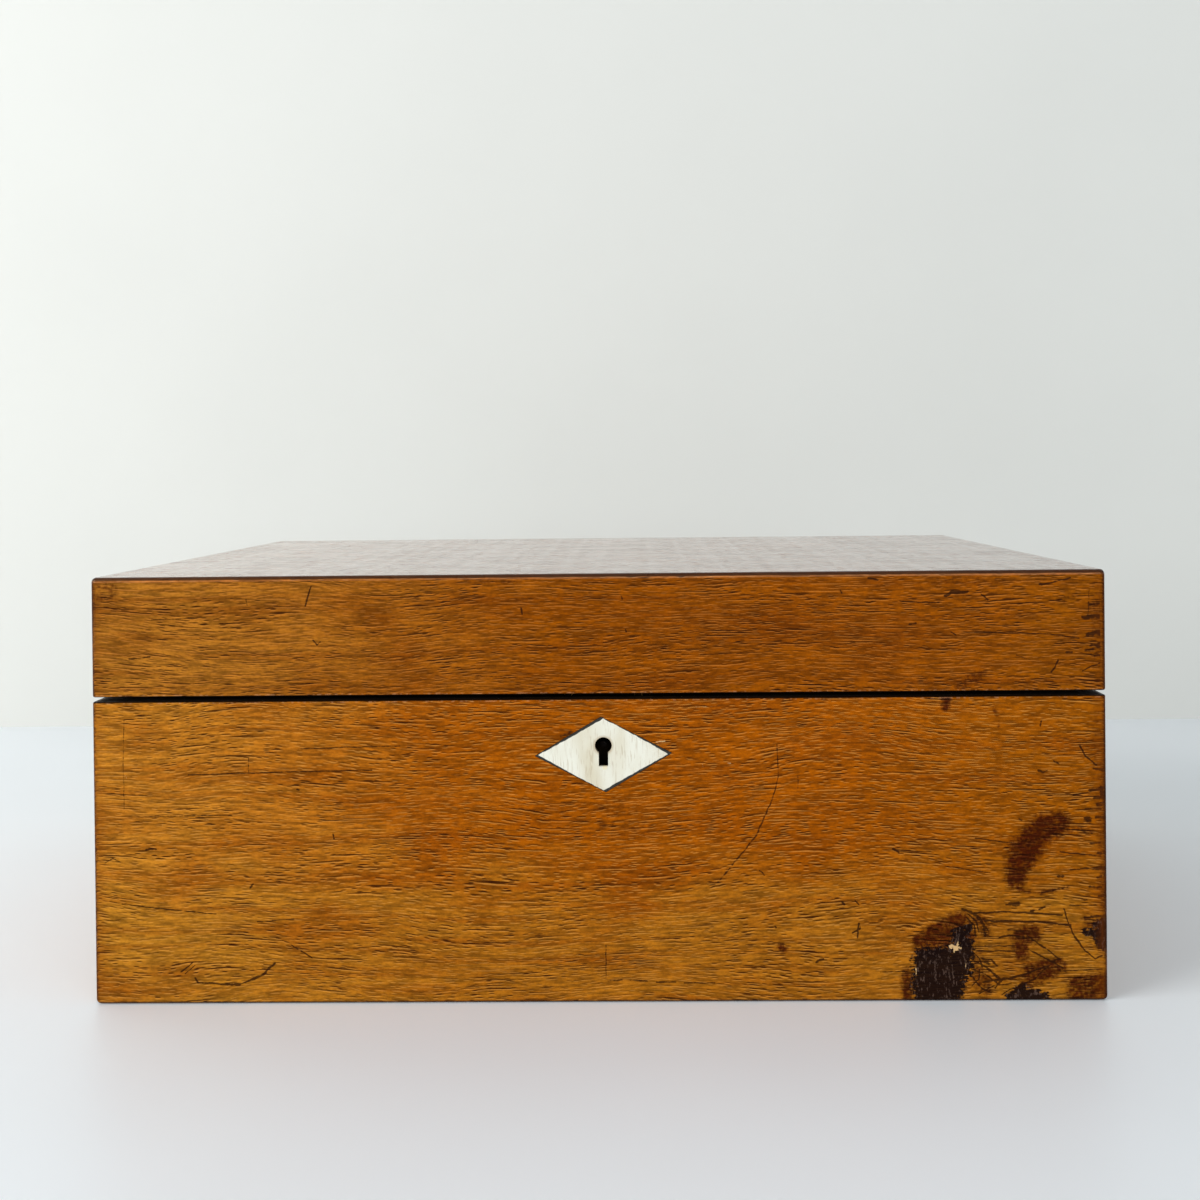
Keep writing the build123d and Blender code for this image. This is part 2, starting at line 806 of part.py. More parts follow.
cell_lid_x = side_bay_width - 2 * cell_lid_clearance
cell_lid_y = middle_row_depth - 2 * cell_lid_clearance
ball_angle = degrees(acos(knob_neck_radius / knob_radius))
ball_z = knob_height - knob_radius
neck_top = ball_z - knob_radius * sin(radians(ball_angle))
for word, x in (("left", -side_bay_x), ("right", side_bay_x)):
    with BuildPart() as cell_lid:
        with Locations((x, 0, lid_seat + cell_lid_board / 2)):
            Box(cell_lid_x, cell_lid_y, cell_lid_board)
    keep(cell_lid.part, f"{word}_cell_lid")

    with BuildPart() as cell_pad:
        with Locations((x, 0, pad_top - pad_height / 2)):
            Box(cell_lid_x - 2 * pad_inset, cell_lid_y - 2 * pad_inset, pad_height)
        fillet(cell_pad.faces().sort_by(Axis.Z)[-1].edges(), pad_round)
        with Locations((x, 0, pad_top - pad_height / 2)):
            Cylinder(knob_neck_radius + knob_clearance, pad_height, mode=Mode.SUBTRACT)
    keep(cell_pad.part, f"{word}_cell_pad")

    with BuildPart() as cell_knob:
        with BuildSketch(Plane((x, 0, pad_top), x_dir=(1, 0, 0), z_dir=(0, -1, 0))):
            with BuildLine():
                Polyline(
                    (0, knob_height),
                    (0, -pad_height),
                    (knob_neck_radius, -pad_height),
                    (knob_neck_radius, 0),
                    (knob_foot_radius, 0),
                    (knob_foot_radius, knob_foot_height),
                    (knob_neck_radius, knob_foot_height),
                    (knob_neck_radius, neck_top),
                )
                CenterArc((0, ball_z), knob_radius, -ball_angle, 90 + ball_angle)
            make_face()
        revolve(axis=Axis((x, 0, 0), (0, 0, 1)))
    keep(cell_knob.part, f"{word}_cell_knob")
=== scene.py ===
import json
import math
import random

import bmesh
import bpy
import numpy as np
from mathutils import Matrix, Vector, geometry


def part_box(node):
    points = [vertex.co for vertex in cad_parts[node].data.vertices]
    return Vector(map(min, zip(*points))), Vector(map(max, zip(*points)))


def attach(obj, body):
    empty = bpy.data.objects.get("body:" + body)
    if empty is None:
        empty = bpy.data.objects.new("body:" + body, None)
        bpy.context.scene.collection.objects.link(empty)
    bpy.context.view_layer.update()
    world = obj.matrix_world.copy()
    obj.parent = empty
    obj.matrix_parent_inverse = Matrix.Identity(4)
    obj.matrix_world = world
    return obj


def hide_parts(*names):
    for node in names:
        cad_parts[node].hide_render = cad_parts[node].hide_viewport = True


# An old veneered sewing box: case, bone keyhole plate, lock, hinges and a tray with padded lids.
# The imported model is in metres. Sizes below are in millimetres unless a note says otherwise.
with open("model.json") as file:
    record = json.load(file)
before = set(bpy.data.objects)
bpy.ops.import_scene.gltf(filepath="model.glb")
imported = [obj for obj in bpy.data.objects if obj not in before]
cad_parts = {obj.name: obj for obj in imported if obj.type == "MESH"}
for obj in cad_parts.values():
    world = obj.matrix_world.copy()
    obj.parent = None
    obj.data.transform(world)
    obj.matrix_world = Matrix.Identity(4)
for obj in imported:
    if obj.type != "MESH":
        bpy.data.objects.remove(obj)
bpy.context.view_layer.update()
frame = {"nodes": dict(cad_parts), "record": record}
nodes = frame["nodes"]
scene = bpy.context.scene
scene.view_settings.view_transform = "Standard"
mm = 0.001
# measures of the model that several pieces here go by, from the middle of the box and its foot
case = {"halfWidth": 150.0, "halfDepth": 112.5, "top": 127.0, "joint": 90.7, "rimX": 138.9, "rimY": 101.4}
plate = {"x": 2.0, "z": 73.5, "halfWidth": 20.15, "halfHeight": 11.1, "toSide": 9.72, "keyholeZ": 76.1}
cellX = 91.75


def addObject(name, data):
    item = bpy.data.objects.new(name, data)
    scene.collection.objects.link(item)
    return item


# Helpers for node trees. Most find their tree from the sockets that they are given.
def rgb(red, green, blue):
    # a colour as a screen shows it, 0 to 255, turned into the light that Blender mixes
    shown = (c / 255 for c in (red, green, blue))
    return tuple(c / 12.92 if c < 0.04 else ((c + 0.055) / 1.055) ** 2.4 for c in shown) + (1.0,)


def link(value, socket):
    # joins an output to the socket, or writes a plain value into it
    if isinstance(value, bpy.types.NodeSocket):
        socket.id_data.links.new(value, socket)
    elif value is not None:
        socket.default_value = value


def addNode(tree, kind, inputs=None, **settings):
    node = tree.nodes.new(kind)
    for key, value in settings.items():
        setattr(node, key, value)
    for key, value in (inputs or {}).items():
        link(value, node.inputs[key])
    return node


def treeOf(*values):
    return next(v.id_data for v in values if isinstance(v, bpy.types.NodeSocket))


def calc(operation, *values, clamp=False):
    node = addNode(treeOf(*values), "ShaderNodeMath", operation=operation, use_clamp=clamp)
    for socket, value in zip(node.inputs, values):
        link(value, socket)
    return node.outputs[0]


def times(first, second):
    return calc("MULTIPLY", first, second)


def minus(first, second):
    return calc("SUBTRACT", first, second)


def timesPlus(first, second, third):
    return calc("MULTIPLY_ADD", first, second, third)


def move(operation, first, second=None, scale=None):
    inputs = {0: first, 1: second, 3: scale}
    return addNode(treeOf(first), "ShaderNodeVectorMath", inputs, operation=operation).outputs[0]


def distance(first, second):
    inputs = {0: first, 1: second}
    return addNode(treeOf(first), "ShaderNodeVectorMath", inputs, operation="DISTANCE").outputs["Value"]


def rise(value, low, high, toLow=0.0, toHigh=1.0):
    # goes smoothly from toLow to toHigh while value goes from low to high
    inputs = {"Value": value, "From Min": low, "From Max": high, "To Min": toLow, "To Max": toHigh}
    return addNode(treeOf(value), "ShaderNodeMapRange", inputs, interpolation_type="SMOOTHSTEP").outputs[0]


def noise(point, scale=1.0, detail=2.0, rough=0.5):
    # three numbers as the scale stretch the pattern along the axes
    if isinstance(scale, tuple):
        point, scale = move("MULTIPLY", point, scale), 1.0
    inputs = {"Vector": point, "Scale": scale, "Detail": detail, "Roughness": rough}
    return addNode(treeOf(point), "ShaderNodeTexNoise", inputs).outputs[0]


def mix(factor, first, second, blend="MIX"):
    inputs = {0: factor, 6: first, 7: second}
    tree = treeOf(factor, first, second)
    return addNode(tree, "ShaderNodeMix", inputs, data_type="RGBA", blend_type=blend).outputs[2]


def joinVector(x, y, z):
    return addNode(treeOf(x, y, z), "ShaderNodeCombineXYZ", {0: x, 1: y, 2: z}).outputs[0]


def splitVector(vector):
    return addNode(treeOf(vector), "ShaderNodeSeparateXYZ", {0: vector}).outputs


def lighten(colour, light):
    return mix(1.0, colour, joinVector(light, light, light), "MULTIPLY")


def startTree(name, kind, inputs, outputs):
    # inputs and outputs give each socket's name and type
    tree = bpy.data.node_groups.new(name, kind)
    for way, sockets in (("INPUT", inputs), ("OUTPUT", outputs)):
        for label, socketType in sockets.items():
            tree.interface.new_socket(label, in_out=way, socket_type="NodeSocket" + socketType)
    return tree, tree.nodes.new("NodeGroupInput").outputs, tree.nodes.new("NodeGroupOutput").inputs


def useGroup(group, inputs):
    return addNode(treeOf(inputs["Point"]), "ShaderNodeGroup", inputs, node_tree=group).outputs


def startMaterial(name, **fixed):
    # a material with its Principled shader, and Object coordinates in millimetres
    material = bpy.data.materials.new(name)
    material.use_nodes = True
    shader = next(n for n in material.node_tree.nodes if n.type == "BSDF_PRINCIPLED")
    for key, value in fixed.items():
        shader.inputs[key.replace("_", " ")].default_value = value
    point = addNode(material.node_tree, "ShaderNodeTexCoord").outputs["Object"]
    return material, shader, move("SCALE", point, scale=1000.0)


def finishMaterial(shader, colour, rough, height, bump):
    # bump is how strong the relief is, and how deep in millimetres
    link(colour, shader.inputs["Base Color"])
    link(rough, shader.inputs["Roughness"])
    inputs = {"Height": height, "Strength": bump[0], "Distance": bump[1] * mm}
    link(addNode(shader.id_data, "ShaderNodeBump", inputs).outputs[0], shader.inputs["Normal"])


def dress(material, *names):
    for name in names:
        for slot in nodes[name].material_slots:
            slot.material = material


# Shader effects that several materials share
poreSizes = (  # length and height of the cell that holds a pore, how far the pore fills it, and a shift
    (10.0, 0.82, 0.23, 0.0),
    (42.0, 1.3, 0.18, 37.0),
    (5.5, 0.68, 0.22, 71.0),
)


def makeGrainGroup():
    # wood grain along the X axis of Point. Pores is the share of the cells that hold one, 0 to 1.
    inputs = {"Point": "Vector"} | dict.fromkeys(("Wave", "Ring Width", "Pore Size", "Pores"), "Float")
    outputs = dict.fromkeys(("Ring", "Fibre", "Pore", "Pore Highlight", "Cloud"), "Float")
    tree, given, out = startTree("woodGrain", "ShaderNodeTree", inputs, outputs)
    point, wave = given["Point"], given["Wave"]
    slow = noise(point, (1 / 80, 1 / 36, 1 / 36), detail=1.0)
    quick = noise(point, (1 / 24, 1 / 10, 1 / 10), detail=1.0)
    shift = timesPlus(times(minus(quick, 0.5), 0.1), wave, times(minus(slow, 0.5), wave))
    bent = move("ADD", point, joinVector(0.0, shift, shift))
    ringScale = calc("DIVIDE", 1.0, given["Ring Width"])
    ringPoint = move("MULTIPLY", bent, joinVector(1 / 110, ringScale, ringScale))
    link(noise(ringPoint, detail=3.0, rough=0.6), out["Ring"])
    link(noise(bent, (1 / 6.5, 1 / 0.85, 1 / 0.85), rough=0.6), out["Fibre"])
    link(noise(point, (1 / 30, 1 / 14, 1 / 14)), out["Cloud"])
    # pores are thin spindles, one in each long flat cell, and fainter or missing in some
    along, across, up = splitVector(bent)
    wiggle = noise(point, (0.3, 0.8, 0.8), detail=1.0)
    level = timesPlus(wiggle, 0.3, calc("ADD", across, up))
    least = minus(given["Pores"], 0.45)
    layers = []
    # the pale lip is a painted highlight along one edge of each pore
    for lift in (0.0, 0.36):  # the second set, a little lower, gives each pore its pale lip
        pores = 0.0
        for length, height, reach, away in poreSizes:
            scaled = calc("DIVIDE", calc("ADD", level, lift), times(given["Pore Size"], height))
            inputs = {"Vector": joinVector(timesPlus(along, 1 / length, away), scaled, 0.0), "Scale": 1.0}
            cells = addNode(tree, "ShaderNodeTexVoronoi", inputs, voronoi_dimensions="2D").outputs
            spindle = rise(cells["Distance"], reach, 0.45 * reach)
            shown = rise(splitVector(cells["Color"])[0], given["Pores"], least)
            pores = calc("MAXIMUM", pores, times(spindle, shown))
        layers.append(pores)
    link(layers[0], out["Pore"])
    link(calc("SUBTRACT", layers[1], layers[0], clamp=True), out["Pore Highlight"])
    return tree


def makeCornerGroup():
    # distance on the skin of a box to its nearest upright edge
    inputs = {"Point": "Vector", "Half Width": "Float", "Half Depth": "Float"}
    tree, given, out = startTree("cornerDistance", "ShaderNodeTree", inputs, {"Upright": "Float"})
    x, y, z = splitVector(given["Point"])
    fromSide = minus(given["Half Width"], calc("ABSOLUTE", x))
    fromFront = minus(given["Half Depth"], calc("ABSOLUTE", y))
    link(calc("MAXIMUM", fromSide, fromFront), out["Upright"])
    return tree


def makeSpeckGroup():
    # small scattered spots, and short scratches
    inputs = {"Point": "Vector", "Spacing": "Float", "Share": "Float"}
    outputs = {"Spot": "Float", "Scratch": "Float"}
    tree, given, out = startTree("specks", "ShaderNodeTree", inputs, outputs)
    scaled = move("SCALE", given["Point"], scale=calc("DIVIDE", 1.0, given["Spacing"]))
    cells = addNode(tree, "ShaderNodeTexVoronoi", {"Vector": scaled, "Scale": 1.0}).outputs
    near = rise(cells["Distance"], 0.16, 0.05)
    chosen = rise(splitVector(cells["Color"])[0], given["Share"], minus(given["Share"], 0.02))
    link(times(near, chosen), out["Spot"])
    inputs = {"Vector": scaled, "Axis": (0.4, 0.6, 0.7), "Angle": 0.7}
    turned = addNode(tree, "ShaderNodeVectorRotate", inputs)
    lines = noise(turned.outputs[0], (0.22, 6.0, 6.0), detail=0.0)
    patchy = noise(scaled, 0.3, detail=1.0)
    link(times(rise(lines, 0.71, 0.76), rise(patchy, 0.5, 0.62)), out["Scratch"])
    return tree


grainGroup = makeGrainGroup()
cornerGroup = makeCornerGroup()
speckGroup = makeSpeckGroup()


def useGrain(point, look):
    # lays the grain along x or y, and gives the turned point with the group's outputs
    x, y, z = splitVector(point)
    turned = point if look["grain"] == "x" else joinVector(y, x, z)
    inputs = {
        "Point": move("ADD", turned, look["origin"]),
        "Wave": look["wave"],
        "Ring Width": look["ringWidth"],
        "Pore Size": look["poreSize"],
        "Pores": look["pores"],
    }
    return turned, useGroup(grainGroup, inputs)


print("shared shader effects ready")

# The camera stands where the photograph was taken from.
cameraPlan = {
    "place": (13.75, -539.35, 157.33),
    "right": (0.99981723, 0.01639501, -0.00983433),
    "up": (0.00969727, 0.0084183, 0.99991754),
    "back": (0.01647644, -0.99983015, 0.00825777),
    "lens": 43.43,
    "sensor": 36.0,
    "nearest": 10.0,
    "shift": (-0.0139, -0.0979),
}


def makeCamera(plan):
    data = bpy.data.cameras.new("camera")
    data.sensor_width = plan["sensor"]
    data.lens = plan["lens"]
    data.shift_x, data.shift_y = plan["shift"]
    data.clip_start = plan["nearest"] * mm
    camera = addObject("camera", data)
    turn = Matrix((plan["right"], plan["up"], plan["back"])).transposed().to_4x4()
    camera.matrix_world = Matrix.Translation(Vector(plan["place"]) * mm) @ turn
    scene.camera = camera


makeCamera(cameraPlan)

# Table, wall and light
stagePlan = {
    "wallY": 363.0,
    "wallHeight": 2600.0,
    "reach": 4000.0,
    "sunk": 0.1,
    "table": rgb(239, 244, 248),
    "wall": rgb(215, 216, 211),
    "world": (0.9, 0.95, 1.0, 1.0),
    "worldStrength": 0.5,
}
lampPlans = {
    "window": {
        "place": (-1600, -950, 780), "size": (1200, 1200), "power": 29.5, "colour": (1.0, 0.985, 0.96),
    },
    "room": {"place": (500, -1900, 560), "size": (1800, 1000), "power": 14.0, "colour": (0.97, 0.985, 1.0)},
}
lampAim = (0, 0, 60)


def stageMaterial(name, colour, rough, hideBack=False):
    material, shader, point = startMaterial(name, Roughness=rough)
    soft = rise(noise(point, 0.006), 0.3, 0.7)
    deeper = [0.98 * c for c in colour[:3]] + [1.0]
    link(mix(soft, deeper, colour), shader.inputs["Base Color"])
    if hideBack:  # seen from behind the wall is clear, so the box shows from every side
        tree = material.node_tree
        behind = addNode(tree, "ShaderNodeNewGeometry").outputs["Backfacing"]
        clear = addNode(tree, "ShaderNodeBsdfTransparent").outputs[0]
        both = addNode(tree, "ShaderNodeMixShader", {0: behind, 1: shader.outputs[0], 2: clear})
        link(both.outputs[0], next(n for n in tree.nodes if n.type == "OUTPUT_MATERIAL").inputs[0])
    return material


def makeStage(plan):
    far, wallY, high = plan["reach"], plan["wallY"], plan["wallHeight"]
    flat = [(-far, -far, 0), (far, -far, 0), (far, far, 0), (-far, far, 0)]
    upright = [(-far, wallY, -1), (far, wallY, -1), (far, wallY, high), (-far, wallY, high)]
    paleTable = stageMaterial("paleTable", plan["table"], 0.42)
    paleWall = stageMaterial("paleWall", plan["wall"], 0.8, hideBack=True)
    for name, corners, material in (("tableTop", flat, paleTable), ("wall", upright, paleWall)):
        mesh = bpy.data.meshes.new(name)
        points = [Vector(c) * mm - Vector((0, 0, plan["sunk"] * mm)) for c in corners]
        mesh.from_pydata(points, [], [(0, 1, 2, 3)])
        mesh.materials.append(material)
        addObject(name, mesh)
    world = bpy.data.worlds.new("room")
    world.use_nodes = True
    sky = world.node_tree.nodes["Background"]
    sky.inputs[0].default_value = plan["world"]
    sky.inputs[1].default_value = plan["worldStrength"]
    scene.world = world


def makeLamp(name, plan):
    data = bpy.data.lights.new(name, "AREA")
    data.shape = "RECTANGLE"
    data.size, data.size_y = (side * mm for side in plan["size"])
    data.energy = plan["power"]
    data.color = plan["colour"]
    place = Vector(plan["place"]) * mm
    turn = (Vector(lampAim) * mm - place).to_track_quat("-Z", "Y").to_matrix().to_4x4()
    addObject(name, data).matrix_world = Matrix.Translation(place) @ turn


makeStage(stagePlan)
for name, plan in lampPlans.items():
    makeLamp(name, plan)
print("camera, table, wall and lamps ready")

# Marks of use on the faces that show them. Each is its width, its strength and the points that it passes,
# in millimetres on the face: x and z on the fronts, x and y on the top.
baseFrontMarks = {
    "scratch": [
        (0.35, 0.42, -140.3, 84.7, -140.7, 72.8, -140.6, 57), (0.4, 0.9, -124.2, 9.6, -120.6, 12.5),
        (0.3, 0.7, -123, 9, -120, 11.6), (0.5, 0.9, -120, 7.8, -119.2, 6.3, -115, 6.2, -110.8, 5.9),
        (0.8, 0.95, -110.8, 5.9, -106.6, 5.9),
        (0.6, 0.9, -106.6, 5.9, -102.7, 7.4, -99.7, 8.6, -97.9, 10.7, -96.1, 12.1),
        (0.45, 0.8, -91.3, 17.5, -89.2, 16.3), (0.45, 0.8, -88.3, 15.7, -86.8, 14.8, -85.1, 13.6),
        (0.55, 0.8, -103.3, 34.5, -102.4, 35.7), (0.4, 0.8, -78.4, 50.4, -78.1, 48.9),
        (0.3, 0.5, -103.3, 73.1, -103.3, 69), (0.6, 0.8, -89, 63.8, -88.4, 63.5),
        (0.7, 0.9, -134.2, 46, -131.2, 46.2), (0.4, 0.4, -146.5, 42.2, -144.1, 43.6, -142, 42.4),
        (0.33, 0.75, -121.4, 68.2, -94, 68.9, -66.6, 69.3),
        (0.38, 0.7, -88.5, 75.7, -73, 76.2, -58.2, 76.4),
        (0.4, 0.7, -141.6, 29.9, -126.7, 28.1, -113.5, 26.8), (0.38, 0.65, -101.3, 24.4, -90.3, 25.2),
        (0.3, 0.6, -139.8, 55.8, -123.9, 56, -108.4, 56.2),
        (0.4, 0.55, 53.2, 76.2, 53.5, 66.5, 51.6, 59.7), (0.5, 0.6, 51.6, 59.7, 46.8, 49.1, 41.5, 42.6),
        (0.6, 0.55, 41.5, 42.6, 37.3, 37.6, 35.5, 35.6), (0.45, 0.75, 2.7, 6.4, 6.9, 6.7),
        (0.4, 0.7, 9.2, 6.6, 14.5, 6.3), (0.45, 0.75, 16.9, 6, 22.8, 6), (0.4, 0.7, 25.2, 5.7, 34.3, 5.7),
        (0.3, 0.6, 2.2, 17.1, 2.1, 7.3), (0.8, 0.8, 22.5, 1.2, 23.4, 1.2),
        (0.6, 0.7, 52.2, 22.4, 52.5, 21.9), (0.6, 0.8, 87.1, 45, 88.8, 44.1),
        (0.45, 0.8, 130.8, 82.5, 130.5, 81), (0.45, 0.85, 142.1, 75.1, 143.6, 72.1, 146.8, 69.4),
        (0.5, 0.6, 131.2, 67.5, 132.4, 67.8), (0.4, 0.45, 59.3, 66.5, 59.3, 62.9),
        (0.4, 0.95, 137.1, 27.1, 137.7, 24.7, 138.5, 22.4, 140.2, 18.8),
        (0.45, 0.95, 140.2, 18.8, 143.2, 14.7, 146.1, 12.3, 148.4, 13.4),
        (0.5, 0.95, 109.8, 26, 121.3, 26.3, 136.5, 25.3), (0.55, 1, 113.9, 23.6, 130, 23.3, 138.8, 22.3),
        (0.4, 0.9, 111.5, 14.8, 122.7, 14.8), (0.7, 0.8, 107.2, 27.2, 111, 25.7, 113.3, 22.8, 113.9, 19.2),
        (0.5, 0.75, 109, 25.7, 111.3, 23.6, 112.1, 20.4),
        (0.5, 0.85, 126.5, 15.3, 131.4, 12.6, 136.7, 9.7),
        (0.5, 0.8, 126.2, 19.2, 131.4, 15.6, 135.8, 12.3, 132.9, 11.5),
        (0.55, 0.9, 113.2, 5.6, 121.7, 6.8, 132.6, 10.3), (0.5, 0.85, 113.5, 10.4, 118.2, 6.5),
        (0.5, 0.8, 123.5, 4.4, 128.4, 6.5, 131.7, 9.7), (0.8, 0.8, 135.4, 36.8, 136.9, 36.8),
        (1.3, 0.75, 120.4, 28.6, 123.6, 28.6), (0.9, 0.75, 127.4, 26.5, 128.3, 26.8),
        (0.8, 0.7, 129.8, 27.1, 131.5, 27.7), (0.7, 0.7, 142.1, 29.7, 143.8, 29.7),
        (1.2, 0.85, 114.1, 11.5, 114.7, 11.2), (1.4, 0.9, 144, 53.6, 144.6, 53.3),
        (0.5, 0.7, 130.4, 31.8, 138.3, 33.5), (0.35, 0.8, 140, 60.6, 149.6, 62.6),
        (0.4, 0.8, 143.4, 56.5, 149.6, 56.5), (0.35, 0.6, 102.3, 39.9, 115.5, 37.8),
        (0.35, 0.7, 111.2, 48.1, 124.3, 46.3), (0.4, 0.8, 136, 43.9, 147.7, 42.6),
        (0.4, 0.7, 138.9, 38.6, 148.9, 39.4), (0.4, 0.7, 138.8, 28.2, 149.4, 28.2),
        (0.35, 0.7, 135.8, 8.8, 149.2, 9.3), (0.4, 0.7, 113.9, 16.3, 122.4, 16.2),
        (0.4, 0.6, 90.3, 9, 83, 8.7), (0.5, 0.8, 116.7, 3.8, 119.1, 6.8),
        (1.2, 0.5, -10.5, 78.8, -7.5, 80.2), (0.5, 0.9, 76.9, 23.2, 76.6, 21, 76.4, 18.8),
        (0.45, 0.9, 74.9, 20.3, 77.2, 21.4), (0.6, 0.8, 72, 29.5, 72.7, 28.6),
        (0.5, 0.8, 75.8, 29.8, 76.9, 28.7), (0.5, 0.7, 47.7, 38.8, 48.4, 38.5, 49.2, 37.5),
        (0.6, 0.8, 64.2, 11.6, 65.4, 12.4, 66.4, 12.6), (0.7, 0.8, 129.8, 68, 131.4, 67.4),
        (0.9, 0.6, 134.4, 70.8, 135.8, 69.8), (0.6, 0.7, 124.2, 53.6, 124.8, 53.3),
        (0.5, 0.6, 136.2, 51, 141, 50.4, 145.5, 49.2), (0.9, 0.85, 144.8, 62, 149.7, 62.5),
        (0.8, 0.85, 146.2, 59.8, 149.7, 60.2), (0.9, 0.8, 147, 57.8, 149.7, 57.4),
        (0.7, 0.75, 146, 68.4, 149.7, 68), (0.8, 0.8, 146.8, 54, 149.7, 53.8),
        (0.6, 0.75, 145, 46.4, 149.7, 46.8), (0.8, 0.8, 147.2, 43.6, 149.7, 43.5),
        (0.8, 0.8, 145.8, 38.8, 149.7, 39), (0.9, 0.85, 147, 36.4, 149.7, 36.9),
        (0.7, 0.8, 144.6, 33.6, 149.7, 33.2), (0.9, 0.8, 147.4, 30.8, 149.7, 31),
        (0.6, 0.8, 143, 24.6, 149.7, 25), (0.45, 0.9, 109.6, 12.6, 112.4, 11, 115.2, 9.4, 117.8, 6.6),
        (0.4, 0.85, 110.2, 14.6, 112.2, 12.6, 113, 10), (0.4, 0.85, 109.8, 9.4, 113.8, 8, 117.2, 5.4),
        (0.45, 0.85, 110.4, 6.8, 113, 3.6, 115.6, 2.4), (0.4, 0.8, 112, 2.2, 116.4, 4.6, 121.4, 5.2),
        (0.4, 0.8, 110, 4.6, 112, 6.6, 112.2, 9.4), (0.5, 0.8, 113, 12.6, 115.8, 12.2, 117.4, 10.4),
        (0.4, 0.8, 118.6, 1.8, 121, 3.4, 124.6, 4), (0.5, 0.85, 118, 18.6, 121, 19.4, 125.4, 18.8),
        (0.4, 0.8, 120.6, 21, 125.2, 20.6), (0.5, 0.9, 108.6, 24.6, 110.8, 22.4, 111, 19.4),
        (0.45, 0.85, 109.8, 26.4, 112.6, 24.4, 114.6, 21),
    ],
    "pale": [
        (0.35, 0.8, 16.7, 76.8, 20.2, 77.4), (0.3, 0.6, 17, 76.2, 18.5, 76.5),
        (0.3, 0.5, 31.1, 70.8, 31.4, 69.6), (0.3, 0.5, 38.5, 70.7, 39.6, 70.7),
        (0.3, 0.5, -129, 54.3, -129.3, 52.8), (0.3, 0.5, -140.2, 68.3, -139.6, 67.1),
        (0.3, 0.4, 27.7, 87.3, 36.6, 87.6), (0.8, 0.95, 104, 16.5, 105.3, 15.9),
        (0.8, 0.95, 105.9, 17.1, 105.6, 15.3), (0.6, 0.9, 104.9, 15.6, 104.8, 14.4),
        (0.35, 0.6, 93.4, 10.6, 93.6, 8), (0.35, 0.5, 108.4, 12, 108, 9),
        (0.6, 0.9, 106.2, 15.8, 106.7, 15.6), (0.7, 0.9, 103.5, 16.2, 104, 15.7),
    ],
    "stain": [
        (1.5, 0.5, 137.8, 50.6, 145.4, 50.6), (0.8, 0.6, 123.7, 32.7, 130.4, 31.8, 138.3, 33.5),
        (3, 0.95, 123.6, 19.2, 127.7, 19.7), (3, 0.95, 124.1, 16.2, 124.7, 14.2),
        (3, 0.85, 140.2, 4.9, 147.5, 5.5), (3, 0.85, 140.4, 2.6, 148, 3.1),
        (5, 0.22, -13.9, 55.7, -0.6, 56.5), (3, 0.6, 112.3, 7.7, 113.8, 3.3),
        (4, 1, 135.4, 52.2, 131.8, 51.2), (4.2, 1, 131.8, 51.2, 128.2, 48, 125.9, 44.6),
        (4.3, 1, 125.9, 44.6, 124.2, 41), (3.4, 0.95, 124.2, 41, 123, 36.2),
        (2.9, 0.95, 94.8, 17.8, 100.5, 20.8, 106.6, 24), (2.4, 0.5, 149.2, 70, 149, 48, 149.2, 27),
        (6, 0.3, 2, 58, 12, 52), (3.6, 0.8, 95.5, 15.2, 108.5, 19.5), (3, 0.55, 110.2, 18, 111.8, 5),
        (2, 0.6, 108.5, 22.5, 112.5, 24.5, 114, 20.5), (1.3, 0.95, 103, 89, 102.9, 86.9),
        (0.9, 0.6, 116.9, 86.4, 118, 84.2), (0.8, 0.6, 118.4, 82.4, 118.3, 80.6),
        (1.7, 0.85, 53.9, 16.2, 54.6, 15.8), (3.4, 0.85, 127.6, 8.4, 135, 10.4),
        (3, 0.7, 126, 5, 130.6, 7), (2, 0.8, 91, 8.4, 91, 1), (3, 0.5, 146.4, 8, 146.8, 3),
        (2.6, 0.6, 143.8, 24.4, 148.8, 20), (9, 0.26, 112, 20, 124, 14, 134, 8),
        (7, 0.26, 112, 8, 126, 4, 144, 6), (3, 0.35, 147, 84, 147.4, 64),
    ],
    "burn": [
        (4.6, 1, 97.2, 11.6, 97, 3.4), (4.8, 1, 101.8, 12.6, 101.8, 3.6),
        (4, 1, 107, 15.4, 105.6, 9, 103.6, 3.2), (1.9, 0.85, 105.6, 19.4, 109, 21.6),
        (2.4, 0.9, 124.6, 2.6, 125.8, 0.6), (2.4, 0.9, 126.9, 1.4, 131, 0.5),
        (2.2, 0.9, 121.7, 0.9, 126.9, 0.6), (2, 0.95, 146.4, 19.9, 149.9, 20.8),
        (3, 0.95, 148.5, 22, 149, 17.9), (1.2, 0.8, 143.5, 20.3, 147.6, 20.2),
        (1.4, 0.8, 149, 62.6, 149.6, 57.4), (1, 0.8, 149.5, 39.7, 149.4, 29.7),
    ],
}
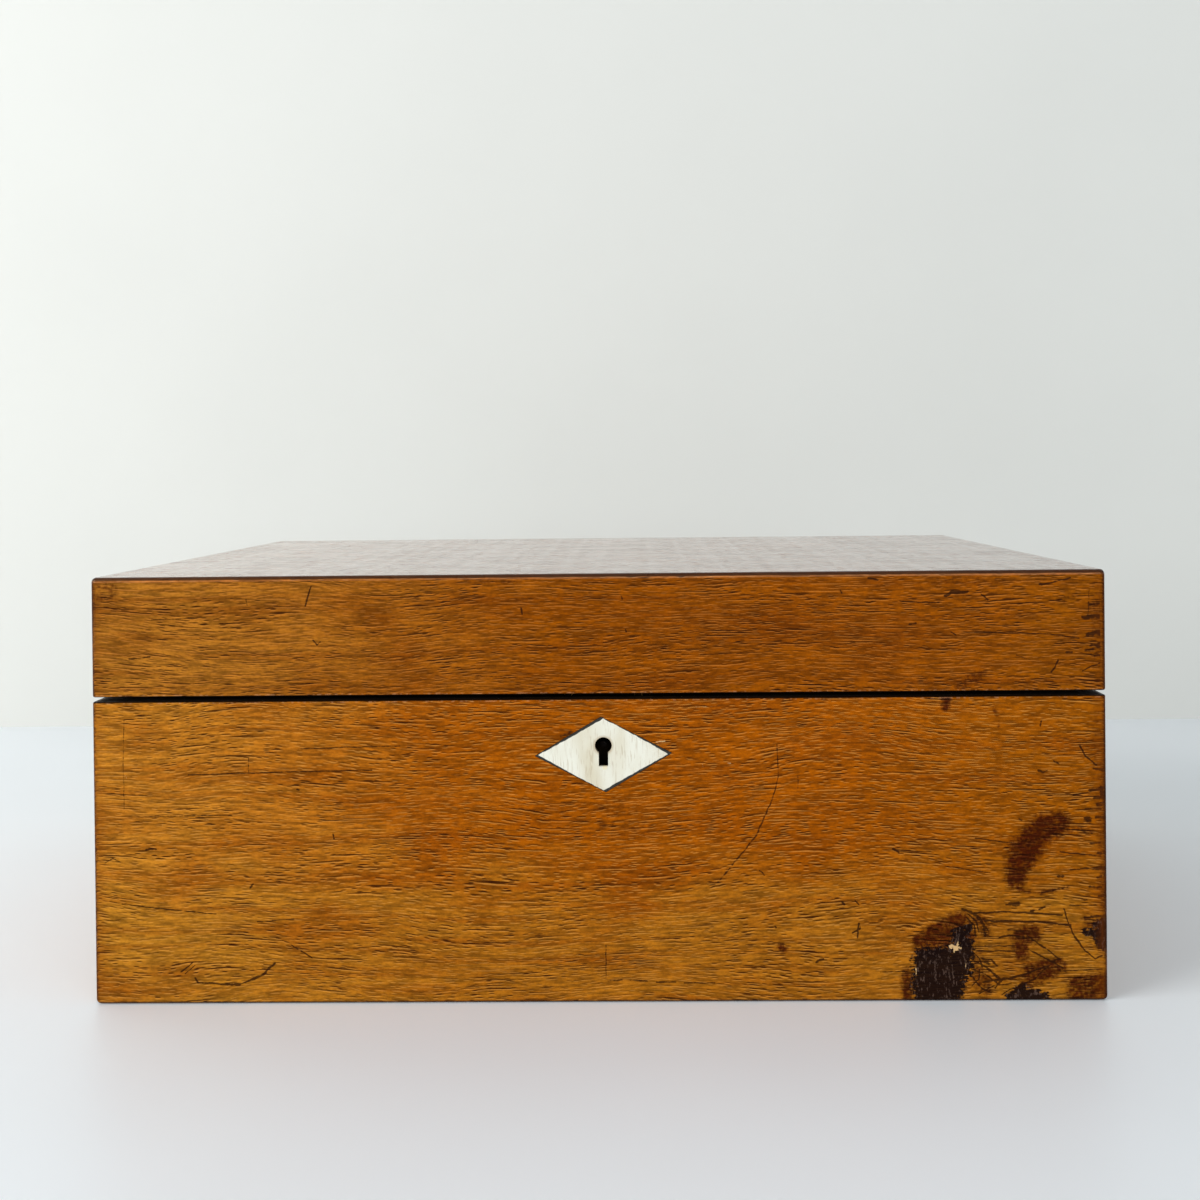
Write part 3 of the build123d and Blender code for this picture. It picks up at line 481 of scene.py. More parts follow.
lidFrontMarks = {
    "scratch": [
        (0.5, 0.8, -84.1, 124, -85, 121.1, -85.9, 118.1),
        (0.5, 0.7, -83.7, 108, -82.5, 106.5, -81.6, 107.4), (0.5, 0.8, -21.9, 117, -21.6, 115.2),
        (0.45, 0.7, -138.6, 102.8, -132.3, 103.4), (0.45, 0.5, -103.5, 120.3, -103.2, 118.3),
        (0.9, 1, 102.9, 119.5, 105, 120.7, 109.4, 120.6), (0.5, 0.9, 113.5, 120, 115.5, 118.2),
        (0.55, 0.7, 92.3, 111.3, 94.4, 111.6), (0.35, 0.7, 89.7, 118.1, 101.2, 117.5),
        (0.35, 0.75, 104.6, 108.9, 106.1, 108),
        (0.35, 0.75, 108.1, 108.9, 121.9, 108.5, 133.6, 108.1, 142.1, 106.8),
        (0.45, 0.9, 133.8, 96.9, 135, 98.3, 135.9, 100.4),
        (0.4, 0.85, 142.9, 97.1, 145.8, 98.6, 148.1, 99.4), (0.4, 0.45, 145.1, 120.9, 144.7, 112.7),
        (1.5, 0.9, 146.7, 108.3, 149.9, 108.5), (1.3, 0.85, 147.6, 113.2, 150, 113.5),
        (0.7, 0.7, 138.2, 102.7, 140, 102.7), (0.6, 0.8, 80.4, 125, 83.3, 124.4),
        (0.45, 0.6, 7.7, 120.3, 8, 119.4), (0.45, 0.6, 8.8, 110.5, 9.1, 109.7),
        (0.4, 0.6, 72.2, 121.5, 72.7, 120.6), (0.4, 0.5, 123.6, 102, 127.7, 100.5),
        (0.35, 0.5, -34.2, 97, -22.4, 96.3), (0.35, 0.5, -132.2, 114.3, -118.4, 114.8),
        (0.35, 0.5, 30.8, 102.7, 43.2, 103.2), (1.2, 0.6, 144.1, 103.3, 147.6, 104.4),
        (1.1, 0.9, 143.4, 112.8, 147.2, 113.3, 149.8, 113.2),
        (1.2, 0.95, 144.6, 107.8, 147.4, 108.4, 149.8, 108.3), (0.8, 0.85, 145.6, 104.8, 149.8, 105.4),
        (0.6, 0.8, 145, 116.6, 149.8, 117), (0.6, 0.75, 146.4, 101.6, 149.8, 101.9),
        (0.5, 0.8, 131.2, 122.6, 135, 123.4, 139.6, 124.6), (0.8, 0.6, 130.6, 122.8, 131.6, 122.6),
    ],
    "pale": [],
    "stain": [
        (2.2, 0.55, 107.1, 92.7, 110.7, 95, 113.6, 97), (2.6, 0.45, -32.8, 126.2, -23.6, 126.2),
        (1.6, 0.35, 136.6, 118, 145.4, 120.9), (2.5, 0.35, 98.6, 124.8, 119.1, 124.1),
        (1.6, 0.3, -149, 121.4, -143.5, 122, -143.2, 126),
        (1.9, 0.5, -148, 125, -143.4, 124.6, -143.6, 121.6, -148.2, 121.2),
        (3, 0.35, 147.2, 122, 147.2, 96),
    ],
    "burn": [],
}
lidTopMarks = {
    "scratch": [
        (0.6, 0.6, 20.4, -3.2, 23.8, -51.5), (0.5, 0.8, 24.8, -3.9, 28.3, 2.2),
        (0.4, 0.6, 48.2, 34.6, 59.5, 32.6), (0.4, 0.6, 64.9, 10, 73.8, 15.5),
        (0.4, 0.7, -40.8, -87.7, -40.2, -73.6), (0.5, 0.5, -103.4, -44.5, -84.3, -36.1),
        (0.5, 0.5, -12.5, -72.4, 13.3, -70.9), (0.5, 0.5, 82.7, -59.9, 124.9, -76.2),
        (0.5, 0.5, 96.9, -33.8, 122.6, -43.5),
    ],
    "pale": [
        (0.45, 0.52, -45.5, -24.4, -1.1, -18.9, 45.3, -13.5), (0.4, 0.5, -85.1, 6.8, -51.1, 8.1),
    ],
    "stain": [],
    "burn": [],
}
sheetPlans = {
    "base_front": {
        "node": "base_front_veneer", "body": "base", "axis": 1, "level": -case["halfDepth"], "inward": 1,
        "marks": baseFrontMarks, "plate": True, "edgeCuts": ((0, 87, 149), (2, 2, 89)),
    },
    "lid_front": {
        "node": "lid_front_veneer", "body": "lid", "axis": 1, "level": -case["halfDepth"], "inward": 1,
        "marks": lidFrontMarks, "plate": False, "edgeCuts": (),
    },
    "lid_top": {
        "node": "lid_top_veneer", "body": "lid", "axis": 2, "level": case["top"], "inward": -1,
        "marks": lidTopMarks, "plate": False, "edgeCuts": (),
    },
}
markShape = {
    "jitter": 0.14, "pace": 1.5, "lattice": 0.8, "margin": 0.25, "grooveDepth": 0.07, "burnDepth": 0.18,
    "thinCore": 1.0, "broadCore": 1.5, "broadReach": 1.7, "sharpAngle": 40,
}
plateCut = {"search": (25, 14), "clear": (1.02, 1.03)}  # finds the hole, and keeps marks off its edge
micron = 1e-6  # in metres


def roughen(marks, rng):
    # cuts each mark into short, wandering runs of uneven width: rows of two points, width and strength
    rows = []
    for width, strength, *path in marks:
        corners = [Vector(pair) for pair in zip(path[::2], path[1::2])]
        spots = [corners[0]]
        for start, end in zip(corners, corners[1:]):
            count = max(1, round((end - start).length / markShape["pace"]))
            sideways = (end - start).orthogonal().normalized() * markShape["jitter"] * min(1.0, 2 * width)
            for i in range(1, count + 1):
                wander = rng.uniform(-1, 1) if i < count else 0.0
                spots.append(start.lerp(end, i / count) + sideways * wander)
        for start, end in zip(spots, spots[1:]):
            rows.append((*start, *end, width * rng.uniform(0.75, 1.1), strength * rng.uniform(0.8, 1.0)))
    return rows


def markStrength(points, marks, layer):
    # how strongly a layer shows at each point: full on the middle line, nothing past the width
    full = markShape["broadCore" if layer in ("stain", "burn") else "thinCore"]
    strength = np.zeros(len(points))
    for x0, y0, x1, y1, width, power in marks[layer]:
        start, run = np.array((x0, y0)), np.array((x1 - x0, y1 - y0))
        along = np.clip((points - start) @ run / max(run @ run, 1e-9), 0, 1)
        far = np.linalg.norm(points - start - along[:, None] * run, axis=1) / width
        strength = np.maximum(strength, power * np.clip(full - far, 0, 1))
    return strength


def strokeLines(rows):
    # the middle line and both sides of each thin mark, as pairs of points
    lines = []
    for x0, y0, x1, y1, width, power in rows:
        start, end = Vector((x0, y0)), Vector((x1, y1))
        run = (end - start).normalized()
        side = Vector((-run.y, run.x)) * width
        before, after = start - run * width, end + run * width
        lines += [(start, end), (start + side, end + side), (start - side, end - side)]
        lines += [(before, start), (end, after)]
    return lines


def lattice(rows):
    # evenly spaced points all over the broad marks
    pitch = markShape["lattice"]
    found = set()
    for x0, y0, x1, y1, width, power in rows:
        reach = markShape["broadReach"] * width
        left, right = (min(x0, x1) - reach) / pitch, (max(x0, x1) + reach) / pitch
        lower, upper = (min(y0, y1) - reach) / pitch, (max(y0, y1) + reach) / pitch
        for i in range(math.floor(left), math.ceil(right) + 1):
            for j in range(math.floor(lower), math.ceil(upper) + 1):
                found.add((i * pitch, j * pitch))
    return found


def insideHole(point, hole):
    if not hole:
        return False
    pairs = zip(hole, hole[1:] + hole[:1])
    return all((b[0] - a[0]) * (point[1] - a[1]) - (b[1] - a[1]) * (point[0] - a[0]) > 0 for a, b in pairs)


def cutEdges(bm, plan):
    # cuts across the rounded edges, a millimetre apart, let the marks run on over them
    for direction, first, last in plan["edgeCuts"]:
        for at in range(first, last):
            rounded = [f for f in bm.faces if not isFlat(f, plan)]
            parts = rounded + list(dict.fromkeys(part for f in rounded for part in (*f.edges, *f.verts)))
            centre, normal = Vector(), Vector()
            centre[direction], normal[direction] = at * mm, 1.0
            bmesh.ops.bisect_plane(bm, geom=parts, dist=micron / 10, plane_co=centre, plane_no=normal)


def isFlat(face, plan):
    return all(abs(v.co[plan["axis"]] - plan["level"] * mm) < micron for v in face.verts)


def makeSheet(name, plan, material):
    # the veneer as packed, with its flat face cut anew so that it holds the marks
    rng = random.Random(len(name))
    marks = {layer: roughen(rows, rng) for layer, rows in plan["marks"].items()}
    mesh = nodes[plan["node"]].data.copy()
    mesh.name = name
    bm = bmesh.new()
    bm.from_mesh(mesh)
    layers = {layer: bm.verts.layers.float.new(layer) for layer in marks}
    bmesh.ops.remove_doubles(bm, verts=bm.verts, dist=micron)
    cutEdges(bm, plan)
    axis, level = plan["axis"], plan["level"] * mm
    across, up = (0, 2) if axis == 1 else (0, 1)
    flat = {f for f in bm.faces if isFlat(f, plan)}
    rim = [e for e in bm.edges if sum(f in flat for f in e.link_faces) == 1]
    rimVerts = list(dict.fromkeys(v for e in rim for v in e.verts))
    place = {v: i for i, v in enumerate(rimVerts)}
    points = [(v.co[across] / mm, v.co[up] / mm) for v in rimVerts]
    lines = [tuple(place[v] for v in e.verts) for e in rim]
    low, high = np.min(points, axis=0), np.max(points, axis=0)
    plateX, plateZ = plate["x"], plate["z"]
    hole = []
    if plan["plate"]:
        wide, tall = plateCut["search"]
        hole = [p for p in points if abs(p[0] - plateX) < wide and abs(p[1] - plateZ) < tall]
        hole.sort(key=lambda p: math.atan2(p[1] - plateZ, p[0] - plateX))
    # no mark is cut within this line round the bone plate, nor at the very edge
    moreX, moreZ = plateCut["clear"]
    grown = [(plateX + (p[0] - plateX) * moreX, plateZ + (p[1] - plateZ) * moreZ) for p in hole]
    least, most = low + markShape["margin"], high - markShape["margin"]
    for pair in strokeLines(marks["scratch"] + marks["pale"]):
        first, second = (tuple(np.clip(tuple(p), least, most)) for p in pair)
        if not insideHole(first, grown) and not insideHole(second, grown):
            lines.append((len(points), len(points) + 1))
            points += [first, second]
    # a row of points beside each edge, so that marks end there neatly
    for i in range(math.ceil(least[0]), math.floor(most[0]) + 1):
        points += [(i, least[1]), (i, most[1])]
    for i in range(math.ceil(least[1]), math.floor(most[1]) + 1):
        points += [(least[0], i), (most[0], i)]
    spread = sorted(lattice(marks["stain"] + marks["burn"]))
    points += [p for p in spread if all(least < p) and all(most > p) and not insideHole(p, grown)]
    cut = geometry.delaunay_2d_cdt([Vector(p) for p in points], lines, [], 0, 1e-4)
    spots = np.array([tuple(p) for p in cut[0]])
    bmesh.ops.delete(bm, geom=list(flat), context="FACES")
    outer = [v for v in bm.verts if v not in place]
    beside = np.clip([(v.co[across] / mm, v.co[up] / mm) for v in outer], least, most)
    for layer in marks:
        for v, strength in zip(outer, markStrength(beside, marks, layer)):
            v[layers[layer]] = float(strength)
    strengths = {layer: markStrength(spots, marks, layer) for layer in marks}
    sink = markShape["grooveDepth"] * strengths["scratch"] + markShape["burnDepth"] * strengths["burn"]
    made = []
    for i, (spot, origins) in enumerate(zip(spots, cut[3])):
        old = next((o for o in origins if o < len(rimVerts)), None)
        if old is None:
            co = [0.0, 0.0, 0.0]
            co[across], co[up] = spot[0] * mm, spot[1] * mm
            co[axis] = level + plan["inward"] * sink[i] * mm
            made.append(bm.verts.new(co))
        else:
            made.append(rimVerts[old])
        for layer in marks:
            made[-1][layers[layer]] = float(strengths[layer][i])
    for f in bm.faces:
        f.smooth = True
    for tri in cut[2]:
        if not insideHole(np.mean([spots[i] for i in tri], axis=0), hole):
            face = bm.faces.new([made[i] for i in tri])
            face.normal_update()
            if face.normal[axis] * plan["inward"] > 0:
                face.normal_flip()
    bm.to_mesh(mesh)
    bm.free()
    mesh.materials.clear()
    mesh.materials.append(material)
    mesh.set_sharp_from_angle(angle=math.radians(markShape["sharpAngle"]))
    # outside the grooves the face is shaded flat, up to its edges
    facing = [0.0, 0.0, 0.0]
    facing[axis] = -plan["inward"]
    normals = []
    for face in mesh.polygons:
        plain = all(abs(mesh.vertices[i].co[axis] - level) < micron for i in face.vertices)
        normals += [facing if plain else (0.0, 0.0, 0.0)] * face.loop_total
    mesh.normals_split_custom_set(normals)
    sheet = addObject(name, mesh)
    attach(sheet, plan["body"])
    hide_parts(plan["node"])


# Veneer. Each look is one sheet of wood: its colours from left to right, its figure and its edges.
veneerShared = {
    "grain": "x", "wave": 7.0, "poreSize": 1.0, "pores": 0.95, "coat": 0.0, "fade": (-150, -20, 60, 140),
}
veneerLooks = {
    "front": {
        **veneerShared, "origin": (40, 0, 0), "ringWidth": 3.4, "rough": 0.44, "shine": 0.06,
        "marks": True, "left": rgb(164, 104, 27), "middle": rgb(141, 71, 0), "right": rgb(133, 71, 1),
        "deep": rgb(120, 56, 1), "poreColour": rgb(52, 20, 2), "poreHighlight": rgb(220, 154, 70),
        "low": rgb(152, 101, 24),
    },
    "lidFront": {
        **veneerShared, "origin": (-310, 30, 55), "ringWidth": 3.0, "rough": 0.42, "shine": 0.06,
        "marks": True, "left": rgb(151, 95, 26), "middle": rgb(127, 64, 0), "right": rgb(127, 68, 1),
        "deep": rgb(96, 42, 1), "poreColour": rgb(44, 16, 2), "poreHighlight": rgb(200, 126, 52),
        "low": rgb(140, 72, 2), "fade": (-150, 0, 100, 150), "pores": 1.0,
    },
    "lidTop": {
        **veneerShared, "origin": (120, 400, 0), "ringWidth": 4.5, "rough": 0.26, "shine": 0.4,
        "marks": True, "left": rgb(160, 96, 40), "middle": rgb(146, 82, 26), "right": rgb(134, 72, 20),
        "deep": rgb(98, 46, 10), "poreColour": rgb(52, 22, 6), "poreHighlight": rgb(200, 140, 86),
        "low": rgb(140, 80, 24), "fade": (-150, -30, 60, 150), "wave": 8.0, "poreSize": 1.1,
        "pores": 0.9, "coat": 1.0,
    },
    "sides": {
        **veneerShared, "origin": (75, 210, 12), "ringWidth": 3.6, "rough": 0.44, "shine": 0.1,
        "marks": False, "left": rgb(168, 100, 26), "middle": rgb(162, 92, 12), "right": rgb(154, 86, 8),
        "deep": rgb(112, 54, 4), "poreColour": rgb(50, 20, 3), "poreHighlight": rgb(210, 144, 66),
        "low": rgb(150, 94, 24), "grain": "y",
    },
    "back": {
        **veneerShared, "origin": (640, 90, 33), "ringWidth": 3.8, "rough": 0.46, "shine": 0.1,
        "marks": False, "left": rgb(154, 90, 20), "middle": rgb(152, 86, 12), "right": rgb(160, 94, 22),
        "deep": rgb(104, 50, 5), "poreColour": rgb(48, 20, 4), "poreHighlight": rgb(200, 138, 62),
        "low": rgb(142, 90, 26), "wave": 6.5,
    },
}
# Colour, the strengths from which a mark starts and is full, how much it covers, and how ragged it is
markLooks = {
    "stain": ((0.17, 0.075, 0.11, 1.0), 0.12, 0.85, 1.0, 0.8),
    "burn": (rgb(16, 6, 7), 0.26, 0.6, 0.98, 1.3),
    "scratch": (rgb(36, 14, 4), 0.12, 0.55, 0.88, 0.9),
    "pale": (rgb(214, 176, 122), 0.3, 0.7, 0.85, 1.3),
}
# colours of char, dirt, wear and the dark arris, of the painted shade along the foot and in the joint, and
# the tint of the shine
dirtAndShadeLook = {
    "char": rgb(84, 66, 58), "corner": rgb(40, 15, 5), "foot": rgb(34, 14, 6), "worn": rgb(196, 140, 96),
    "joint": rgb(16, 7, 4), "arris": rgb(40, 14, 6), "tint": rgb(255, 214, 170),
}


def layMarks(shader, point, ragged, colour, rough):
    # reads each layer of marks from the mesh, frays it and lays it over the colour
    drawnOut = noise(point, (0.35, 1.6, 1.6), detail=3.0, rough=0.6)
    rag = calc("ADD", minus(ragged, 0.5), minus(drawnOut, 0.5))
    for layer, (tint, low, high, power, looseness) in markLooks.items():
        value = addNode(shader.id_data, "ShaderNodeAttribute", attribute_name=layer).outputs["Fac"]
        broken = timesPlus(rag, times(rise(value, 0.02, 0.4), looseness), value)
        mask = rise(broken, low, high, 0.0, power)
        if layer == "stain":
            mask = times(mask, rise(ragged, 0.3, 0.6, 0.8, 1.0))
        if layer == "burn":  # the char is crazed, with paler specks
            crazed = noise(point, (1.5, 1.5, 0.6), rough=0.7)
            tint = mix(rise(crazed, 0.54, 0.68, 0.0, 0.7), tint, dirtAndShadeLook["char"])
            rough = timesPlus(mask, 0.2, rough)
        colour = mix(mask, colour, tint, "MULTIPLY" if layer == "stain" else "MIX")
    return colour, rough


def makeVeneer(name, look):
    material, shader, point = startMaterial(
        name, Coat_Weight=look["coat"], Coat_Roughness=0.14, Specular_IOR_Level=look["shine"]
    )
    shader.inputs["Specular Tint"].default_value = dirtAndShadeLook["tint"]
    x, y, z = splitVector(point)
    grainPoint, grain = useGrain(point, look)
    cloud, pore, fibre = grain["Cloud"], grain["Pore"], grain["Fibre"]
    box = {"Point": point, "Half Width": case["halfWidth"], "Half Depth": case["halfDepth"]}
    upright = useGroup(cornerGroup, box)["Upright"]
    spot = useGroup(speckGroup, {"Point": point, "Spacing": 14.0, "Share": 0.12})["Spot"]
    # ground colour, from left to right, with its bands and clouds. On the fronts and the lid's top the
    # paler left is partly the sheet's own tone and partly painted light from the left.
    run = timesPlus(minus(cloud, 0.5), 70.0, splitVector(grainPoint)[0])
    fade = look["fade"]
    colour = mix(rise(run, fade[0], fade[1]), look["left"], look["middle"])
    colour = mix(rise(run, fade[2], fade[3]), colour, look["right"])
    lowRun = timesPlus(minus(cloud, 0.5), 50.0, z)
    colour = mix(rise(lowRun, 52.0, 18.0, 0.0, 0.6), colour, look["low"])
    colour = mix(times(rise(grain["Ring"], 0.42, 0.72), 0.55), colour, look["deep"])
    colour = mix(rise(cloud, 0.46, 0.76, 0.0, 0.5), colour, look["deep"])
    grit = noise(grainPoint, (0.8, 1.3, 1.3), rough=0.6)
    colour = lighten(colour, times(rise(fibre, 0.3, 0.7, 0.62, 1.35), rise(grit, 0.3, 0.7, 0.86, 1.14)))
    # pores, with a painted highlight as a pale lip beside each
    colour = mix(times(grain["Pore Highlight"], 0.34), colour, look["poreHighlight"])
    patchy = noise(grainPoint, (1 / 34, 1 / 8, 1 / 8))
    colour = mix(times(pore, rise(patchy, 0.38, 0.6, 0.25, 1.0)), colour, look["poreColour"])
    colour = mix(times(spot, 0.7), colour, look["poreColour"])
    rough = timesPlus(pore, 0.2, rise(cloud, 0.3, 0.7, look["rough"] - 0.05, look["rough"] + 0.06))
    ragged = noise(point, 0.9, detail=3.0, rough=0.6)
    if look["marks"]:
        colour, rough = layMarks(shader, point, ragged, colour, rough)
    # dark, dirty corners, and painted shade along the foot
    wander = times(minus(ragged, 0.5), 2.4)
    colour = mix(rise(timesPlus(wander, 1.5, upright), 5.0, 0.5, 0.0, 0.3), colour, look["deep"])
    colour = mix(rise(calc("ADD", upright, wander), 1.8, 0.1, 0.0, 0.85), colour, dirtAndShadeLook["corner"])
    colour = mix(rise(timesPlus(wander, 0.3, z), 1.1, 0.2, 0.0, 0.8), colour, dirtAndShadeLook["foot"])
    # a thin pale line where the arrises at the joint have worn, and painted shade, nearly black, in the
    # joint
    toJoint = calc("ABSOLUTE", minus(z, case["joint"]))
    worn = times(rise(toJoint, 1.5, 1.2), rise(ragged, 0.5, 0.66, 0.0, 0.36))
    colour = mix(worn, colour, dirtAndShadeLook["worn"])
    colour = mix(rise(toJoint, 1.12, 0.85, 0.0, 0.98), colour, dirtAndShadeLook["joint"])
    if look["coat"]:  # the polish fills the pores of the lid's top and ends at its rounded, dark edge
        overEdge = calc("MAXIMUM", calc("ADD", calc("ABSOLUTE", x), -37.5), calc("ABSOLUTE", y))
        onRounding = times(rise(z, 125.8, 126.2), rise(overEdge, 111.15, 111.45))
        colour = mix(times(onRounding, 0.9), colour, dirtAndShadeLook["arris"])
        filled = calc("MULTIPLY_ADD", pore, -0.7, rise(fibre, 0.25, 0.6, 0.9, 1.0), clamp=True)
        link(times(filled, rise(overEdge, 111.6, 111.2)), shader.inputs["Coat Weight"])
    height = timesPlus(pore, -1.0, times(fibre, 0.35))
    finishMaterial(shader, colour, rough, height, (0.22, 0.06))
    return material


veneer = {name: makeVeneer("veneer_" + name, look) for name, look in veneerLooks.items()}
makeSheet("base_front", sheetPlans["base_front"], veneer["front"])
makeSheet("lid_front", sheetPlans["lid_front"], veneer["lidFront"])
makeSheet("lid_top", sheetPlans["lid_top"], veneer["lidTop"])
dress(veneer["sides"], "base_left_veneer", "base_right_veneer", "lid_left_veneer", "lid_right_veneer")
dress(veneer["back"], "base_back_veneer", "lid_back_veneer")
print("veneer laid")

# Plain woods: softwood boards under the veneer, and the mahogany tray
boardShared = {
    "wave": 3.0, "ringWidth": 5.0, "poreSize": 1.4, "pores": 0.4, "poreColour": rgb(104, 66, 36),
    "rough": 0.7, "shine": 0.2,
}
trayShared = {
    "wave": 4.0, "ringWidth": 4.0, "poreSize": 0.8, "pores": 0.85, "poreColour": rgb(58, 24, 12),
    "rough": 0.46, "shine": 0.35,
}
woodLooks = {
    "boardLong": {
        **boardShared, "grain": "x", "origin": (15, 8, 4), "light": rgb(190, 144, 92),
        "dark": rgb(146, 96, 52),
    },
    "boardCross": {
        **boardShared, "grain": "y", "origin": (55, 81, 14), "light": rgb(186, 140, 88),
        "dark": rgb(142, 94, 50),
    },
    "trayLong": {
        **trayShared, "grain": "x", "origin": (5, 60, 24), "light": rgb(156, 86, 44),
        "dark": rgb(108, 50, 24),
    },
    "trayCross": {
        **trayShared, "grain": "y", "origin": (35, 20, 44), "light": rgb(152, 82, 42),
        "dark": rgb(104, 48, 23),
    },
}
# painted shade for the rims in the joint, and the colour of the dirty foot
rimShade, dirtyFoot = rgb(14, 8, 5), rgb(70, 52, 38)


def makeWood(name, look):
    material, shader, point = startMaterial(name, Specular_IOR_Level=look["shine"])
    x, y, z = splitVector(point)
    grain = useGrain(point, look)[1]
    cloud = grain["Cloud"]
    specks = useGroup(speckGroup, {"Point": point, "Spacing": 18.0, "Share": 0.2})
    colour = mix(rise(grain["Ring"], 0.36, 0.66), look["light"], look["dark"])
    colour = mix(rise(cloud, 0.45, 0.8, 0.0, 0.4), colour, look["dark"])
    colour = lighten(colour, rise(grain["Fibre"], 0.25, 0.75, 0.86, 1.1))
    for mask, power in ((grain["Pore"], 0.7), (specks["Spot"], 0.5), (specks["Scratch"], 0.35)):
        colour = mix(times(mask, power), colour, look["poreColour"])
    # the rims where lid and base meet are painted nearly black as shade in the joint, and the box's foot is
    # dirty
    across = calc("MAXIMUM", minus(calc("ABSOLUTE", x), case["rimX"]), -50.0)
    onRim = rise(calc("MAXIMUM", across, minus(calc("ABSOLUTE", y), case["rimY"])), 0.0, 0.3)
    toJoint = calc("ABSOLUTE", minus(z, case["joint"]))
    colour = mix(times(rise(toJoint, 2.4, 1.6, 0.0, 0.96), onRim), colour, rimShade)
    colour = mix(times(rise(z, 4.0, 0.2, 0.0, 0.5), rise(cloud, 0.2, 0.6)), colour, dirtyFoot)
    rough = rise(cloud, 0.3, 0.7, look["rough"] - 0.05, look["rough"] + 0.08)
    height = timesPlus(grain["Pore"], -0.8, times(grain["Fibre"], 0.5))
    finishMaterial(shader, colour, rough, height, (0.4, 0.12))
    return material


wood = {name: makeWood(name, look) for name, look in woodLooks.items()}
dress(wood["boardLong"], "base_front_board", "base_back_board", "base_bottom_board")
dress(wood["boardLong"], "lid_front_board", "lid_back_board", "lid_top_board")
dress(wood["boardCross"], "base_left_board", "base_right_board", "lid_left_board", "lid_right_board")
dress(wood["boardCross"], "tray_bearers")
dress(wood["trayLong"], "tray_front_wall", "tray_back_wall", "tray_bottom", "tray_cross_dividers")
dress(wood["trayLong"], "left_cell_lid", "right_cell_lid")
dress(wood["trayCross"], "tray_left_wall", "tray_right_wall", "tray_left_divider", "tray_right_divider")
dress(wood["trayCross"], "tray_lid_ledges")

# Lining paper, pasted on card
paperLook = {
    "fresh": rgb(84, 112, 134), "faded": rgb(122, 142, 150), "fibre": rgb(164, 172, 168),
    "foxing": rgb(126, 98, 62), "rough": 0.86, "shine": 0.12,
}


def makePaper(look):
    material, shader, point = startMaterial("liningPaper", Specular_IOR_Level=look["shine"])
    z = splitVector(point)[2]
    cloud = noise(point, 0.03, detail=4.0, rough=0.6)
    colour = mix(rise(cloud, 0.35, 0.7), look["fresh"], look["faded"])
    colour = mix(rise(z, 70.0, 92.0, 0.0, 0.35), colour, look["faded"])
    fibres = 0.0
    for stretch in ((0.2, 1.3, 1.9), (1.6, 0.25, 1.5), (1.1, 1.7, 0.3)):
        fibres = calc("MAXIMUM", fibres, rise(noise(point, stretch, detail=1.0), 0.66, 0.74))
    colour = mix(times(fibres, 0.22), colour, look["fibre"])
    spot = useGroup(speckGroup, {"Point": point, "Spacing": 21.0, "Share": 0.3})["Spot"]
    blot = noise(point, 0.4, detail=3.0, rough=0.65)
    foxing = times(rise(blot, 0.62, 0.75), rise(cloud, 0.5, 0.64, 0.0, 0.6))
    colour = mix(calc("MAXIMUM", foxing, times(spot, 0.6)), colour, look["foxing"])
    grit = noise(point, 2.2, detail=3.0, rough=0.7)
    rough = rise(cloud, 0.3, 0.7, look["rough"] - 0.06, look["rough"] + 0.04)
    finishMaterial(shader, colour, rough, timesPlus(fibres, 0.4, grit), (0.3, 0.08))
    return material


paper = makePaper(paperLook)
for name in nodes:
    if "lining" in name:
        dress(paper, name)
print("boards, tray and lining paper dressed")

# Bone, sawn flat for the keyhole plate and turned for the knobs
boneLook = {
    "light": rgb(221, 220, 206), "warm": rgb(204, 197, 174), "vein": rgb(162, 140, 106),
    "darkLine": rgb(12, 8, 6), "chip": rgb(222, 208, 168), "rough": 0.34, "shine": 0.2,
}


def agePlate(point, colour, look):
    # a dark line round the edge of the rhombus, thicker lower right and upper left, and a chip under the
    # keyhole
    x, y, z = splitVector(point)
    fromMiddle, fromLevel = minus(x, plate["x"]), minus(z, plate["z"])
    share = timesPlus(calc("ABSOLUTE", fromLevel), 1 / plate["halfHeight"], -1.0)
    share = timesPlus(calc("ABSOLUTE", fromMiddle), 1 / plate["halfWidth"], share)
    inside = times(share, -plate["toSide"])
    skew = times(times(fromMiddle, fromLevel), -0.0025)
    wander = timesPlus(minus(noise(point, 0.7), 0.5), 0.5, skew)
    colour = mix(rise(minus(inside, wander), 0.52, 0.34, 0.0, 0.97), colour, look["darkLine"])
    flat = joinVector(x, 0.0, z)
    colour = mix(rise(distance(flat, (2.4, 0.0, 69.7)), 0.9, 0.5, 0.0, 0.7), colour, look["chip"])
    around = distance(flat, (plate["x"], 0.0, plate["keyholeZ"]))
    return mix(rise(around, 3.4, 2.5, 0.0, 0.55), colour, look["vein"])


def makeBone(name, look, isPlate):
    material, shader, point = startMaterial(name, Specular_IOR_Level=look["shine"])
    drift = noise(point, (0.12, 0.12, 0.05))
    bent = move("ADD", point, joinVector(times(drift, 3.0), 0.0, 0.0))
    veins = noise(bent, (1.5, 1.5, 0.09), rough=0.6)
    fine = noise(bent, (3.4, 3.4, 0.3), detail=1.0)
    colour = mix(rise(drift, 0.35, 0.7), look["light"], look["warm"])
    colour = mix(rise(veins, 0.58, 0.74, 0.0, 0.42), colour, look["vein"])
    colour = mix(rise(fine, 0.6, 0.7, 0.0, 0.35), colour, look["vein"])
    if isPlate:
        colour = agePlate(point, colour, look)
    rough = rise(drift, 0.3, 0.7, look["rough"] - 0.06, look["rough"] + 0.08)
    finishMaterial(shader, colour, rough, times(veins, -1.0), (0.25, 0.08))
    return material


dress(makeBone("boneEscutcheon", boneLook, True), "escutcheon")
dress(makeBone("boneKnob", boneLook, False), "left_cell_knob", "right_cell_knob")

